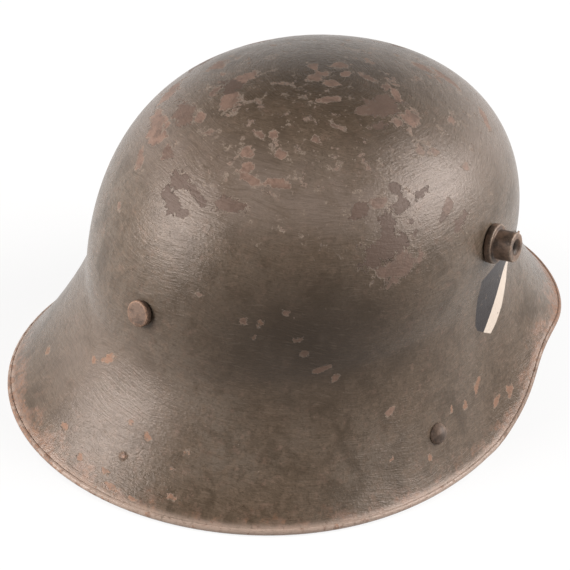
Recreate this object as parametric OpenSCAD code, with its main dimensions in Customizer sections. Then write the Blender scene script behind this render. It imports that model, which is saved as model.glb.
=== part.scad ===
// Pressed steel helmet with a flared skirt and a short visor, and its three-pad liner.
// The front is at -Y, the wearer's right at -X and up at +Z. The skirt's rolled edge stands on Z = 0.
// An angle round the helmet is 0 at the front, 90 at the wearer's right and 180 at the rear.

/* [Dome] */
// Height of the crown above the table
crown_h = 167.5; // [163:0.5:172]
// Half width of the dome at its waist
waist_half_w = 92.5; // [90:0.5:96]
// Reach of the waist to the front
waist_front = 123; // [119:0.5:127]
// Reach of the waist to the rear
waist_rear = 111.5; // [108:0.5:115]
// Height of the waist at the front
waist_z_front = 79; // [75:1:83]
// Height of the waist at the sides
waist_z_side = 78; // [74:1:82]
// Height of the waist at the rear
waist_z_rear = 58; // [54:1:62]
// Thickness of the pressed sheet
sheet_t = 1.2; // [1:0.1:1.6]

/* [Visor and skirt] */
// Reach of the visor's edge
visor_reach = 147; // [143:0.5:151]
// Half width of the skirt beside the ears
skirt_half_w = 117; // [115:0.5:121]
// Reach of the skirt's edge to the rear
skirt_reach = 147; // [143:0.5:151]
// Height of the visor's edge above the skirt's
visor_rise = 35; // [33:0.5:41]
// Radius of the rolled edge
bead_r = 1.6; // [1.4:0.1:1.8]
// Depth of the gutter pressed behind the rolled edge
gutter_d = 0.4; // [0.2:0.1:0.8]

/* [Side lugs] */
// Angle of the lugs round the helmet
lug_phi = 70.5; // [68:0.5:73]
// Height of the lugs on the shell
lug_z = 104.5; // [102:0.5:107]
// Radius of a lug's flange
lug_flange_r = 9.5; // [9:0.1:10.5]
// Thickness of a lug's flange
lug_flange_t = 3.4; // [2.6:0.1:4]
// Radius of a lug's barrel
lug_r = 7.1; // [6.6:0.1:7.6]
// Height of a lug's end face above the shell
lug_len = 12.5; // [11:0.5:14]
// Radius of the air bore through a lug
vent_r = 2; // [1.6:0.1:2.4]

/* [Rivets] */
// Radius of a liner rivet's head
liner_head_r = 6.3; // [5.8:0.1:6.8]
// Height of a liner rivet's head
liner_head_h = 3.7; // [3:0.1:4.2]
// Radius of a liner rivet's shank
liner_shank_r = 2.3; // [2:0.1:2.6]
// Angle of the two front liner rivets
liner_phi = 47; // [44:1:50]
// Radius of a chinstrap rivet's domed head
chin_head_r = 5.2; // [4.8:0.1:5.6]
// Height of a chinstrap rivet's domed head
chin_head_h = 3.9; // [3.2:0.1:4.4]
// Angle of the chinstrap rivets
chin_phi = 97; // [95:0.5:99]
// Height of the chinstrap rivets
chin_z = 24.5; // [23:0.5:27]

/* [Liner] */
// Height of the liner band's middle at the front
band_z_front = 84; // [82:0.5:86]
// Height of the liner band's middle at the rear
band_z_rear = 79.5; // [77.5:0.5:81.5]
// Width of the liner band
band_w = 26; // [23:0.5:28]
// Thickness of the liner band
band_t = 2.2; // [1.8:0.1:2.6]
// Half of the angle that one pad covers
pad_half = 33; // [30:1:34]
// Thickness of a pad's leather
pad_t = 1.8; // [1.4:0.1:2.2]
// How far a cushion holds its pad off the shell
pad_stand = 13; // [12:0.5:15]
// Height of the tongues where they meet under the crown
tongue_top = 138; // [134:0.5:141]
// Radius of the ring that the lace runs round
lace_ring_r = 24; // [23:0.5:26]
// Radius of the lace
lace_r = 0.9; // [0.7:0.1:1.1]

/* [Chinstrap] */
// Width of the strap
strap_w = 14; // [12:0.5:15]
// Thickness of the strap
strap_t = 2; // [1.6:0.1:2.4]
// Distance from the posts to the middle of the strap
strap_reach = 130; // [120:1:134]
// Length of the strap's straight sides from the posts
strap_side = 50; // [44:1:56]
// Distance of a buckle from its post
buckle_at = 34; // [32:0.5:36]

/* [Hidden] */
paint = "#6b6254";
rust = "#5a4132";
steel = "#8d8d88";
hide = "#7a5433";
cloth = "#b9a684";
black_hide = "#3a2c22";
round_fn = 48;
bore_l = 30;

// Dome: lean of its wall at the waist, and pulls of its curve as shares of the radius and the drop
lean_front = -1;
lean_side = -4;
lean_rear = 0;
crown_pull = 0.6;
wall_pull = 0.66;
// Skirt: angle of its edge from the vertical, and pulls of its curve as shares of its run
flare_front = 66;
flare_side = 45;
flare_rear = 54;
neck_pull = 0.18;
edge_pull = 0.23;
// Where the visor's corner starts, where its edge starts to fall and lands, and where the skirt begins
corner_phi = 18;
fall_phi = 44;
land_phi = 78;
ear_phi = 82;
// The edge is drawn in at each temple: how far, where, and how wide
temple_in = 3.4;
temple_phi = 52.5;
temple_half = 8;
// Rolled edge: how proud it stands of the sheet, and the gutter's place and half width on the skirt
bead_proud = 0.5;
gutter_at = 0.91;
gutter_half = 0.05;

around_n = 60;
dome_n = 16;
dome_end = 0.999;
bead_n = 10;
skirt_steps = [0.12, 0.25, 0.38, 0.5, 0.62, 0.72, 0.8, 0.86, 0.89, 0.91, 0.94];
inner_steps = [0.93, 0.82, 0.68, 0.52, 0.36, 0.18];

seat_gap = 0.1;
head_seat = 0.6;
inner_seat = 0.6;
lug_ring_seat = 1;
hole_gap = 0.15;

lug_shank_r = 4;
lug_lip_r = 5.4;
lug_lip_t = 0.9;
lug_mouth_r = 4;
lug_mouth_d = 2.2;
lug_ring_r = 7;
lug_ring_t = 1.6;
washer_r = 6.5;
washer_t = 1;
prong_l = 8.5;
prong_w = 4;
prong_t = 1;
chin_shank_r = 2;

band_gap = 1;
stack_gap = 0.3;
pad_back = band_gap + band_t + stack_gap;
washer_z = sheet_t + band_gap + band_t + inner_seat;
pad_apart = 120;
pad_low = 2;
pad_flat = 20;
pad_turn = 13;
pad_tall = 34;
pad_split = 0.5;
tongue_phi = 30;
tongue_tip_r = 15;
tongue_root_w = 27;
tongue_pull = 22;
tongue_sweep = 36;
tongue_half_w = 9.5;
eyelet_phi = 15;
eyelet_r = 2.3;
eyelet_cut = 10;
lace_lift = lace_r + pad_t / 2 + stack_gap;
lace_knot_r = 2;
pad_rivet_phis = [-22, 0, 22];
pad_rivet_up = 5;
pad_rivet_r = 1.3;
pad_rivet_head_r = 2.6;
pad_rivet_head_t = 0.8;
pad_rivet_seat = 0.65;
pad_rivet_tail_r = 1.9;
pad_rivet_tail_t = 0.4;
pad_rivet_lift = 0.27;
cushion_half = pad_half - 3;
cushion_gap = 0.4;
cushion_back = pad_back + stack_gap;
cushion_edge = 0.8;

post_base_r = 6;
post_base_t = 1.5;
post_neck_r = 2.5;
post_head_r = 4.6;
post_head_t = 1.6;
clip_t = 1.2;
clip_r = 6.4;
clip_w = 11;
clip_tail = 22;
clip_from_post = 3.4;
clip_play = 0.4;
strap_start = 6.6;
strap_rivets_at = [11, 17.5];
strap_rivet_r = 1.2;
strap_rivet_head_r = 2.3;
strap_rivet_head_t = 0.7;
buckle_l = 13;
buckle_wall = 1.2;
buckle_play = 0.35;
buckle_bar = 2;
floor_gap = 0.4;

// Eases from 0 to 1 as u goes from 0 to 1
function ease(u) = let (v = min(1, max(0, u))) v * v * (3 - 2 * v);
// Angle from the front, 0 to 180, whichever side it is on
function from_front(phi) = let (a = abs(phi) % 360) a <= 180 ? a : 360 - a;
// A value that is set at the front, the sides and the rear and turns smoothly between them
function around(front, side, rear, phi) = (front + 2 * side + rear) / 4
    + (front - rear) / 2 * cos(phi) + (front - 2 * side + rear) / 4 * cos(2 * phi);
// A point of a cubic curve, and its direction there
function curve(p, u) = pow(1 - u, 3) * p[0] + 3 * u * pow(1 - u, 2) * p[1]
    + 3 * u * u * (1 - u) * p[2] + pow(u, 3) * p[3];
function curve_dir(p, u) = pow(1 - u, 2) * (p[1] - p[0]) + 2 * u * (1 - u) * (p[2] - p[1])
    + u * u * (p[3] - p[2]);
// A radius and height at an angle round the helmet, as a point
function at_phi(q, phi) = [-q[0] * sin(phi), -q[0] * cos(phi), q[1]];

function flare_at(phi) = around(flare_front, flare_side, flare_rear, phi);
function edge_r(phi) = let (a = from_front(phi)) (a < ear_phi
    ? visor_reach - (visor_reach - skirt_half_w) * ease((a - corner_phi) / (ear_phi - corner_phi))
    : skirt_half_w + (skirt_reach - skirt_half_w) * (1 - cos(180 * (a - ear_phi) / (180 - ear_phi))) / 2)
    - temple_in * exp(-pow((a - temple_phi) / temple_half, 2));
// Height at which the rolled edge's underside is on the table, plus the visor's rise
function edge_z(phi) = let (f = flare_at(phi))
    bead_r * (1 - cos(f)) + (bead_r - bead_proud) * sin(f)
    + visor_rise * (1 - ease((from_front(phi) - fall_phi) / (land_phi - fall_phi)));
// The two cubic curves of the shell's outer face at one angle: crown to waist, and waist to edge
function outline(phi) = let (
        front = cos(phi) > 0,
        waist_r = 1 / norm([sin(phi) / waist_half_w, cos(phi) / (front ? waist_front : waist_rear)]),
        waist = [waist_r, around(waist_z_front, waist_z_side, waist_z_rear, phi)],
        lean = around(lean_front, lean_side, lean_rear, phi),
        down = [sin(lean), -cos(lean)],
        out = [sin(flare_at(phi)), -cos(flare_at(phi))],
        edge = [edge_r(phi), edge_z(phi)],
        run = norm(edge - waist)
    ) [[[0, crown_h], [crown_pull * waist_r, crown_h],
        waist - wall_pull * (crown_h - waist[1]) * down, waist],
       [waist, waist + neck_pull * run * down, edge - edge_pull * run * out, edge]];
// A point of the wall at a depth below its outer face: t runs 0 to 1 on the dome, 1 to 2 on the skirt
function wall(o, t, depth) = let (
        part = t < 1 ? o[0] : o[1],
        u = t < 1 ? t : t - 1,
        d = curve_dir(part, u),
        k = depth / norm(d)
    ) curve(part, u) + k * [d[1], -d[0]];
function wall_t(o, z, depth, low = 0.05, high = 1.97, n = 18) = let (mid = (low + high) / 2)
    n == 0 ? mid
    : wall(o, mid, depth)[1] > z ? wall_t(o, z, depth, mid, high, n - 1)
    : wall_t(o, z, depth, low, mid, n - 1);
// Radius of the wall, at a depth below its outer face, at one angle and height
function wall_r(phi, z, depth) = let (o = outline(phi)) wall(o, wall_t(o, z, depth), depth)[0];
// Point and outward normal of the shell's outer face at one angle and height
function seat(phi, z) = let (
        o = outline(phi),
        t = wall_t(o, z, 0),
        along = at_phi(wall(outline(phi + 0.5), t, 0), phi + 0.5)
            - at_phi(wall(outline(phi - 0.5), t, 0), phi - 0.5),
        down = at_phi(wall(o, t + 0.01, 0), phi) - at_phi(wall(o, t - 0.01, 0), phi),
        n = cross(along, down)
    ) [at_phi(wall(o, t, 0), phi), n / norm(n)];

module at_seat(phi, z) {
    s = seat(phi, z);
    translate(s[0]) rotate([0, acos(s[1][2]), atan2(s[1][1], s[1][0])]) children();
}
module turned(outline_points) {
    rotate_extrude($fn = round_fn) polygon(outline_points);
}
module left_of_right() {
    mirror([1, 0, 0]) children();
}
function arc(centre, r, from, to, n) = [for (k = [0 : n]) let (a = from + (to - from) * k / n)
    centre + r * [cos(a), sin(a)]];

// Triangles of a surface of n rings of m points, closed both ways
function ring_faces(n, m) = [for (i = [0 : n - 1], j = [0 : m - 1]) let (
        a = i * m + j, b = i * m + (j + 1) % m,
        c = (i + 1) % n * m + (j + 1) % m, d = (i + 1) % n * m + j
    ) each [[a, b, c], [a, c, d]]];
// Triangles of a sheet with a back and a front layer; has(i, j) says which cells it has
function sheet_faces(rows, cols, has) = let (
        w = cols + 1,
        layer = (rows + 1) * w
    ) [for (i = [0 : rows - 1], j = [0 : cols - 1]) if (has(i, j)) let (
        q = [i * w + j, i * w + j + 1, (i + 1) * w + j + 1, (i + 1) * w + j],
        near = [[i - 1, j], [i, j + 1], [i + 1, j], [i, j - 1]]
    ) each concat(
        [[q[0], q[1], q[2]], [q[0], q[2], q[3]],
         [q[1] + layer, q[0] + layer, q[2] + layer], [q[2] + layer, q[0] + layer, q[3] + layer]],
        [for (k = [0 : 3]) let (c = near[k], a = q[k], b = q[(k + 1) % 4])
            if (c[0] < 0 || c[0] >= rows || c[1] < 0 || c[1] >= cols || !has(c[0], c[1]))
                each [[b, a, a + layer], [b, a + layer, b + layer]]])];

function gutter(u) = gutter_d * exp(-pow((u - gutter_at) / gutter_half, 2));
// The rolled edge in section, from the sheet's outer face round to its inner face
function bead_points(phi) = let (
        f = flare_at(phi),
        out = [sin(f), -cos(f)],
        up = [cos(f), sin(f)],
        centre = [edge_r(phi), edge_z(phi)] - bead_r * out - (bead_r - bead_proud) * up,
        first = -acos(1 - bead_proud / bead_r),
        last = 360 - acos((bead_r - bead_proud - sheet_t) / bead_r)
    ) [for (k = [0 : bead_n]) let (a = first + (last - first) * k / bead_n)
        centre + bead_r * (cos(a) * up + sin(a) * out)];
function shell_section(phi) = let (o = outline(phi)) concat(
    [for (k = [1 : dome_n]) wall(o, k / dome_n * dome_end, 0)],
    [for (u = skirt_steps) wall(o, 1 + u, gutter(u))],
    bead_points(phi),
    [for (u = inner_steps) wall(o, 1 + u, sheet_t + gutter(u))],
    [for (k = [dome_n : -1 : 1]) wall(o, k / dome_n * dome_end, sheet_t)]);

module shell_blank() {
    m = 2 * dome_n + len(skirt_steps) + len(inner_steps) + bead_n + 1;
    top = around_n * m;
    points = [for (i = [0 : around_n - 1]) let (phi = 360 * i / around_n)
        each [for (q = shell_section(phi)) at_phi(q, phi)]];
    faces = [for (i = [0 : around_n - 1]) let (a = i * m, b = (i + 1) % around_n * m) each concat(
        [[top, a, b], [top + 1, b + m - 1, a + m - 1]],
        [for (j = [0 : m - 2]) each [[a + j, a + j + 1, b + j + 1], [a + j, b + j + 1, b + j]]])];
    polyhedron(concat(points, [[0, 0, crown_h], [0, 0, crown_h - sheet_t]]), faces);
}

module bored(phi, z, r) {
    at_seat(phi, z) translate([0, 0, -bore_l / 2]) cylinder(h = bore_l, r = r, $fn = round_fn);
}

module shell() color(paint) difference() {
    shell_blank();
    bored(180, band_z(180), liner_shank_r + hole_gap);
    for (side = [-1, 1]) {
        bored(side * lug_phi, lug_z, lug_shank_r + hole_gap);
        bored(side * liner_phi, band_z(liner_phi), liner_shank_r + hole_gap);
        bored(side * chin_phi, chin_z, chin_shank_r + hole_gap);
    }
}

lug_ring_z = sheet_t + lug_ring_seat + lug_ring_t;
module lug() color(rust) at_seat(lug_phi, lug_z) turned(concat(
    [[vent_r, -lug_ring_z - seat_gap - lug_lip_t], [lug_lip_r, -lug_ring_z - seat_gap - lug_lip_t],
     [lug_lip_r, -lug_ring_z - seat_gap], [lug_shank_r, -lug_ring_z - seat_gap],
     [lug_shank_r, seat_gap], [lug_flange_r, seat_gap]],
    arc([lug_flange_r - 1, lug_flange_t - 1], 1, 0, 90, 4),
    [[lug_r + 0.4, lug_flange_t], [lug_r, lug_flange_t + 0.4], [lug_r, lug_len - 0.7],
     [lug_r - 0.7, lug_len], [lug_mouth_r, lug_len], [vent_r, lug_len - lug_mouth_d]]));

module lug_ring() color(steel) at_seat(lug_phi, lug_z) turned([
    [lug_shank_r + hole_gap, -lug_ring_z], [lug_ring_r, -lug_ring_z],
    [lug_ring_r, -lug_ring_z + lug_ring_t], [lug_shank_r + hole_gap, -lug_ring_z + lug_ring_t]]);

function band_z(phi) = around(band_z_front, (band_z_front + band_z_rear) / 2, band_z_rear, phi);

module liner_rivet(phi) color(rust) at_seat(phi, band_z(phi)) {
    prong_top = -washer_z - washer_t - seat_gap;
    turned(concat([[0, prong_top - prong_t], [liner_shank_r, prong_top - prong_t],
        [liner_shank_r, head_seat], [liner_head_r, head_seat]],
        arc([liner_head_r - 1, liner_head_h - 1], 1, 0, 90, 5), [[0, liner_head_h + 0.1]]));
    for (way = [-1, 1])
        translate([-prong_w / 2, way > 0 ? 0 : -prong_l, prong_top - prong_t])
            cube([prong_w, prong_l, prong_t]);
}

module rivet_washer(phi) color(steel) at_seat(phi, band_z(phi)) turned([
    [liner_shank_r + hole_gap, -washer_z - washer_t], [washer_r, -washer_z - washer_t],
    [washer_r, -washer_z], [liner_shank_r + hole_gap, -washer_z]]);

dome_r = (pow(chin_head_r, 2) + pow(chin_head_h, 2)) / (2 * chin_head_h);
module chin_rivet() color(rust) at_seat(chin_phi, chin_z) turned(concat(
    [[0, -sheet_t - inner_seat - post_base_t + 0.4],
     [chin_shank_r, -sheet_t - inner_seat - post_base_t + 0.4],
     [chin_shank_r, seat_gap + 0.1], [chin_head_r, seat_gap + 0.1]],
    arc([0, seat_gap + 0.1 + chin_head_h - dome_r], dome_r, asin(1 - chin_head_h / dome_r), 90, 8)));

// The inner face of a chinstrap post's base: the strap hinges on the line through both of these
post = let (s = seat(chin_phi, chin_z)) s[0] - (sheet_t + inner_seat + post_base_t) * s[1];
strap_x = -post[0] - clip_from_post - clip_t - 0.05 - strap_t / 2;
module from_post(depth) {
    translate([post[0] + depth, post[1], post[2]]) rotate([0, 90, 0]) children();
}

module chin_post() color(steel) {
    neck_l = clip_from_post + clip_t + 0.6;
    difference() {
        union() {
            at_seat(chin_phi, chin_z) translate([0, 0, -sheet_t - inner_seat - post_base_t])
                cylinder(h = post_base_t, r = post_base_r, $fn = round_fn);
            from_post(0) cylinder(h = neck_l + 0.5, r = post_neck_r, $fn = round_fn);
        }
        at_seat(chin_phi, chin_z) translate([0, 0, -sheet_t - inner_seat - post_base_t + 0.3])
            cylinder(h = bore_l, r = chin_shank_r + hole_gap, $fn = round_fn);
    }
    from_post(neck_l) cylinder(h = post_head_t, r = post_head_r, $fn = round_fn);
}

// The band follows the shell's inner face
function band_section(phi) = let (z = band_z(phi)) concat(
    [for (k = [2 : -1 : -2]) let (h = z + k * band_w / 4) [wall_r(phi, h, sheet_t) - band_gap, h]],
    [for (k = [-2 : 2]) let (h = z + k * band_w / 4) [wall_r(phi, h, sheet_t) - band_gap - band_t, h]]);

function pad_rivet_z(phi) = band_z(phi) - band_w / 2 + pad_rivet_up;

module pad_rivet_holes(centre) {
    for (a = pad_rivet_phis) bored(centre + a, pad_rivet_z(centre + a), pad_rivet_r + hole_gap);
}

module liner_band() color(hide) difference() {
    polyhedron([for (i = [0 : around_n - 1]) let (phi = 360 * i / around_n)
        each [for (q = band_section(phi)) at_phi(q, phi)]], ring_faces(around_n, 10));
    for (phi = [liner_phi, 180, -liner_phi]) bored(phi, band_z(phi), liner_shank_r + hole_gap);
    for (k = [-1 : 1]) pad_rivet_holes(k * pad_apart);
}

// The two curves of a pad's back at one angle: over its cushion, and on to the tongue's tip
function pad_rise(phi, v) = let (
        q = curve([[pad_back, pad_low], [pad_back, pad_flat], [pad_stand, pad_turn],
            [pad_stand, pad_tall]], v),
        z = band_z(phi) - band_w / 2 + q[1]
    ) [wall_r(phi, z, sheet_t) - q[0], z];
function tongue_curve(phi) = let (
        start = pad_rise(phi, 1),
        d = start - pad_rise(phi, 0.96)
    ) [start, start + tongue_pull * d / norm(d), [tongue_tip_r + tongue_sweep, tongue_top],
        [tongue_tip_r, tongue_top]];
function pad_back_at(phi, v) = v < pad_split ? pad_rise(phi, v / pad_split)
    : curve(tongue_curve(phi), (v - pad_split) / (1 - pad_split));
function pad_point(phi, v, depth) = let (
        q = pad_back_at(phi, v),
        d = v < pad_split ? pad_back_at(phi, v + 0.01) - q
            : curve_dir(tongue_curve(phi), (v - pad_split) / (1 - pad_split)),
        k = depth / norm(d)
    ) q + k * [-d[1], d[0]];

pad_cols = 9;
pad_low_rows = 6;
tongue_steps = [0.14, 0.3, 0.45, 0.6, 0.72, 0.82, 0.9, 0.96, 0.99];
pad_vs = concat([for (i = [0 : pad_low_rows]) pad_split * i / pad_low_rows],
    [for (q = tongue_steps) pad_split + (1 - pad_split) * q]);
pad_rows = len(pad_vs) - 1;
// Middle and half width, in degrees, of one tongue at q of its way to the tip
function tongue_mid(q) = pad_half / 2 + (tongue_phi - pad_half / 2) * ease(q);
function tongue_half(centre, q) = let (
        r = curve(tongue_curve(centre), q)[0],
        wide = tongue_half_w + (tongue_root_w - tongue_half_w) * (1 - q),
        tip = q < 0.86 ? 1 : sqrt(1 - pow((q - 0.86) / 0.145, 2))
    ) min(pad_half / 2 - 0.4 + 20 * q, wide * tip / r * 180 / PI);
function pad_phi(centre, i, j) = let (
        q = max(0, (pad_vs[i] - pad_split) / (1 - pad_split)),
        mid = tongue_mid(q),
        half = q > 0 ? tongue_half(centre, q) : pad_half / 2 - 0.4,
        side = j < pad_cols / 2 ? -1 : 1,
        k = side < 0 ? j / 4 : (j - 5) / 4
    ) centre + side * mid + (2 * k - 1) * half;

module pad_sheet(centre) {
    has = function (i, j) !(j == 4 && i >= pad_low_rows);
    polyhedron([for (depth = [0, pad_t], i = [0 : pad_rows], j = [0 : pad_cols])
        let (phi = pad_phi(centre, i, j)) at_phi(pad_point(phi, pad_vs[i], depth), phi)],
        sheet_faces(pad_rows, pad_cols, has));
}

// Height of the tongues' middle layer over the ring that the lace follows
function ring_q(c, n = 18, low = 0.4, high = 0.99) = let (mid = (low + high) / 2)
    n == 0 ? mid : curve(c, mid)[0] > lace_ring_r ? ring_q(c, n - 1, mid, high) : ring_q(c, n - 1, low, mid);
function ring_z(phi) = let (c = tongue_curve(phi)) curve(c, ring_q(c))[1] - pad_t / 2;

module pad(centre) color(hide) difference() {
    pad_sheet(centre);
    pad_rivet_holes(centre);
    for (mid = [-tongue_phi, tongue_phi], a = [-eyelet_phi, eyelet_phi])
        translate(at_phi([lace_ring_r, ring_z(centre + mid + a) - eyelet_cut / 2], centre + mid + a))
            cylinder(h = eyelet_cut, r = eyelet_r, $fn = 24);
}

// A cushion fills the space behind its pad: full in the middle, drawn in at its edges
cushion_rows = 8;
cushion_cols = 10;
module cushion(centre) color(cloth) {
    all = function (i, j) true;
    polyhedron([for (layer = [0, 1], i = [0 : cushion_rows], j = [0 : cushion_cols]) let (
            s = 2 * j / cushion_cols - 1,
            v = 2 * i / cushion_rows - 1,
            phi = centre + s * cushion_half * (1 - 0.05 * (1 - v * v)),
            front = pad_rise(phi, 0.36 + 0.3 * (v + 1)),
            back_r = wall_r(phi, front[1], sheet_t) - cushion_back,
            full = back_r - front[0] - cushion_gap,
            crown = (1 - pow(s, 6)) * (1 - pow(v, 4)),
            thick = cushion_edge + (full - cushion_edge) * crown
        ) at_phi([back_r - layer * min(full, thick), front[1]], phi)],
        sheet_faces(cushion_rows, cushion_cols, all));
}

pad_rivet_out = sheet_t + band_gap - pad_rivet_lift;
pad_rivet_in = pad_back + pad_t + sheet_t + pad_rivet_seat;
module pad_rivets() color(steel) for (k = [-1 : 1], a = pad_rivet_phis)
    at_seat(k * pad_apart + a, pad_rivet_z(k * pad_apart + a)) turned([
        [0, -pad_rivet_in - pad_rivet_head_t], [pad_rivet_head_r - 0.5, -pad_rivet_in - pad_rivet_head_t],
        [pad_rivet_head_r, -pad_rivet_in], [pad_rivet_r, -pad_rivet_in],
        [pad_rivet_r, -pad_rivet_out], [pad_rivet_tail_r, -pad_rivet_out],
        [pad_rivet_tail_r, -pad_rivet_out + pad_rivet_tail_t], [0, -pad_rivet_out + pad_rivet_tail_t]]);

// The lace goes over each tongue and under the gaps, through two eyelets in each
lace_n = 120;
lace_sides = 6;
// Its knot is a thick place at the front, under the gap of the front pad's tongues
function knot(phi) = (lace_knot_r - lace_r) * exp(-pow(from_front(phi) / 5, 2));
function lace_z(phi) = ring_z(phi) - lace_lift * min(1, max(-1, 2.4 * cos(6 * phi))) - knot(phi);
module draw_lace() color(cloth) polyhedron([
    for (i = [0 : lace_n - 1], j = [0 : lace_sides - 1]) let (
        phi = 360 * i / lace_n,
        a = 360 * j / lace_sides,
        r = lace_r + knot(phi)
    ) at_phi([lace_ring_r + r * cos(a), lace_z(phi) - r * sin(a)], phi)],
    ring_faces(lace_n, lace_sides));

// The strap lies in a plane that hinges on the posts and slopes down to the table at the front
strap_tilt = asin((post[2] - strap_w / 2 - floor_gap) / strap_reach);
module in_strap() {
    translate([0, post[1], post[2]]) rotate([strap_tilt, 0, 0]) children();
}
strap_n = 24;
function strap_line(shift) = concat([[-strap_x + shift, -strap_start]],
    [for (k = [0 : strap_n]) let (a = 180 * k / strap_n)
        [-(strap_x - shift) * cos(a), -strap_side - (strap_reach - strap_side - shift) * sin(a)]],
    [[strap_x - shift, -strap_start]]);
module strap_holes(r) {
    for (side = [-1, 1], y = strap_rivets_at)
        translate([side * strap_x, -y, 0]) rotate([0, 90, 0])
            cylinder(h = bore_l, r = r, center = true, $fn = 24);
}
module chinstrap() color(black_hide) in_strap() difference() {
    rim = strap_line(-strap_t / 2);
    bore = strap_line(strap_t / 2);
    translate([0, 0, -strap_w / 2]) linear_extrude(strap_w)
        polygon(concat(rim, [for (k = [len(bore) - 1 : -1 : 0]) bore[k]]));
    strap_holes(strap_rivet_r + 0.1);
}
clip_x = strap_x + strap_t / 2 + 0.05;
module strap_clip() color(steel) in_strap() difference() {
    translate([-clip_x, 0, 0]) rotate([0, -90, 0]) {
        cylinder(h = clip_t, r = clip_r, $fn = round_fn);
        translate([-clip_w / 2, -clip_tail, 0]) cube([clip_w, clip_tail, clip_t]);
    }
    rotate([0, 90, 0])
        cylinder(h = 2 * clip_x + bore_l, r = post_neck_r + clip_play, center = true, $fn = round_fn);
    strap_holes(strap_rivet_r + 0.1);
}
module strap_rivets() color(steel) in_strap() for (y = strap_rivets_at)
    translate([-clip_x, -y, 0]) rotate([0, 90, 0]) turned([
        [0, -clip_t - 0.6], [strap_rivet_head_r - 0.6, -clip_t - 0.6], [strap_rivet_head_r - 0.2, -clip_t],
        [strap_rivet_r, -clip_t], [strap_rivet_r, strap_t + 0.1], [strap_rivet_head_r, strap_t + 0.1],
        [strap_rivet_head_r - 0.4, strap_t + 0.1 + strap_rivet_head_t],
        [0, strap_t + 0.1 + strap_rivet_head_t]]);
// A frame round the strap, open to the outside on each side of a middle bar
module strap_buckle() color(steel) in_strap() translate([-strap_x, -buckle_at, 0]) difference() {
    gap_x = strap_t + 2 * buckle_play;
    gap_z = strap_w + 2 * buckle_play;
    window_y = (buckle_l - 3 * buckle_bar) / 2;
    cube([gap_x + 2 * buckle_wall, buckle_l, gap_z + 2 * buckle_wall], center = true);
    cube([gap_x, buckle_l + 2, gap_z], center = true);
    for (side = [-1, 1]) translate([-gap_x, side * (window_y + buckle_bar) / 2, 0])
        cube([2 * gap_x, window_y, gap_z], center = true);
}

// Where a lug seats, where the strap hinges and how it slopes
echo(lug_seat = seat(lug_phi, lug_z), post = post, strap_x = strap_x, strap_tilt = strap_tilt);

shell();
lug();  // lug_right
left_of_right() lug();  // lug_left
lug_ring();  // lug_ring_right
left_of_right() lug_ring();  // lug_ring_left
liner_rivet(180);  // liner_rivet_rear
liner_rivet(liner_phi);  // liner_rivet_right
left_of_right() liner_rivet(liner_phi);  // liner_rivet_left
rivet_washer(180);  // rivet_washer_rear
rivet_washer(liner_phi);  // rivet_washer_right
left_of_right() rivet_washer(liner_phi);  // rivet_washer_left
chin_rivet();  // chin_rivet_right
left_of_right() chin_rivet();  // chin_rivet_left
chin_post();  // chin_post_right
left_of_right() chin_post();  // chin_post_left
liner_band();
pad(0);  // pad_front
pad(pad_apart);  // pad_right
pad(-pad_apart);  // pad_left
cushion(0);  // cushion_front
cushion(pad_apart);  // cushion_right
cushion(-pad_apart);  // cushion_left
pad_rivets();
draw_lace();
chinstrap();
strap_clip();  // strap_clip_right
left_of_right() strap_clip();  // strap_clip_left
strap_rivets();  // strap_rivets_right
left_of_right() strap_rivets();  // strap_rivets_left
strap_buckle();  // strap_buckle_right
left_of_right() strap_buckle();  // strap_buckle_left
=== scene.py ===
"""A pressed steel helmet with its padded leather liner and chinstrap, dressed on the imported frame.

Sizes are in millimetres, as on the drawing, and become metres where a mesh is made. The front is at -Y,
the wearer's right at -X and up at +Z. An angle round the helmet is 0 at the front, 90 at the wearer's
right and 180 at the rear.
"""

import logging
import math
from dataclasses import dataclass
from enum import Enum
from typing import Sequence

import bpy
import numpy as np
from mathutils import Matrix, Vector


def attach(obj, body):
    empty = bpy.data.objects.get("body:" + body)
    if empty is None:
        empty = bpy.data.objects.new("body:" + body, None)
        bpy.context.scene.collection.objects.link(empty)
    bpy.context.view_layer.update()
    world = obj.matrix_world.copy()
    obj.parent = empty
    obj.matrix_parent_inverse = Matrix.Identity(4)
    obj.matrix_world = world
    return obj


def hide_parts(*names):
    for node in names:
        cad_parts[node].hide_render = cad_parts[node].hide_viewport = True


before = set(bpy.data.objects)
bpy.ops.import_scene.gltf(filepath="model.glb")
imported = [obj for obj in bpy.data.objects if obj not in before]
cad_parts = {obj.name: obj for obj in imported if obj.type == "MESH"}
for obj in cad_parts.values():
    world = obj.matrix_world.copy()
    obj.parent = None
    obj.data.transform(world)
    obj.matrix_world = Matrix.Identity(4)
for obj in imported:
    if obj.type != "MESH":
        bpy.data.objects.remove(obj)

LOG = logging.getLogger("helmet")
MM = 0.001
TINY = 1e-12
CAMERA, GLOSSY, CLEAR = "Is Camera Ray", "Is Glossy Ray", "Is Transmission Ray"

Array = np.ndarray
Colour = tuple[float, float, float]
Pair = tuple[float, float]
Piece = bpy.types.Object
Finish = bpy.types.Material
Socket = bpy.types.NodeSocket
Value = Socket | float | int | Sequence[float]


class Side(Enum):
    """The wearer's two sides. Pieces are made for the right one and mirrored for the left."""

    RIGHT = "right"
    LEFT = "left"


class Place(Enum):
    """The three places round the helmet where a pad and its cushion hang."""

    FRONT = "front"
    RIGHT = "right"
    LEFT = "left"


class Layer(Enum):
    """The two faces of a sheet."""

    BACK = 0
    FRONT = 1


def ease(u: Array | float) -> Array:
    """Eases from 0 to 1 as u goes from 0 to 1."""
    v = np.clip(u, 0.0, 1.0)
    return v * v * (3 - 2 * v)


def hump(x: Array, middle: float, wide: float) -> Array:
    """A soft hump, 1 in its middle and a third of that at its width from there."""
    return np.exp(-(((x - middle) / wide) ** 2))


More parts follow.
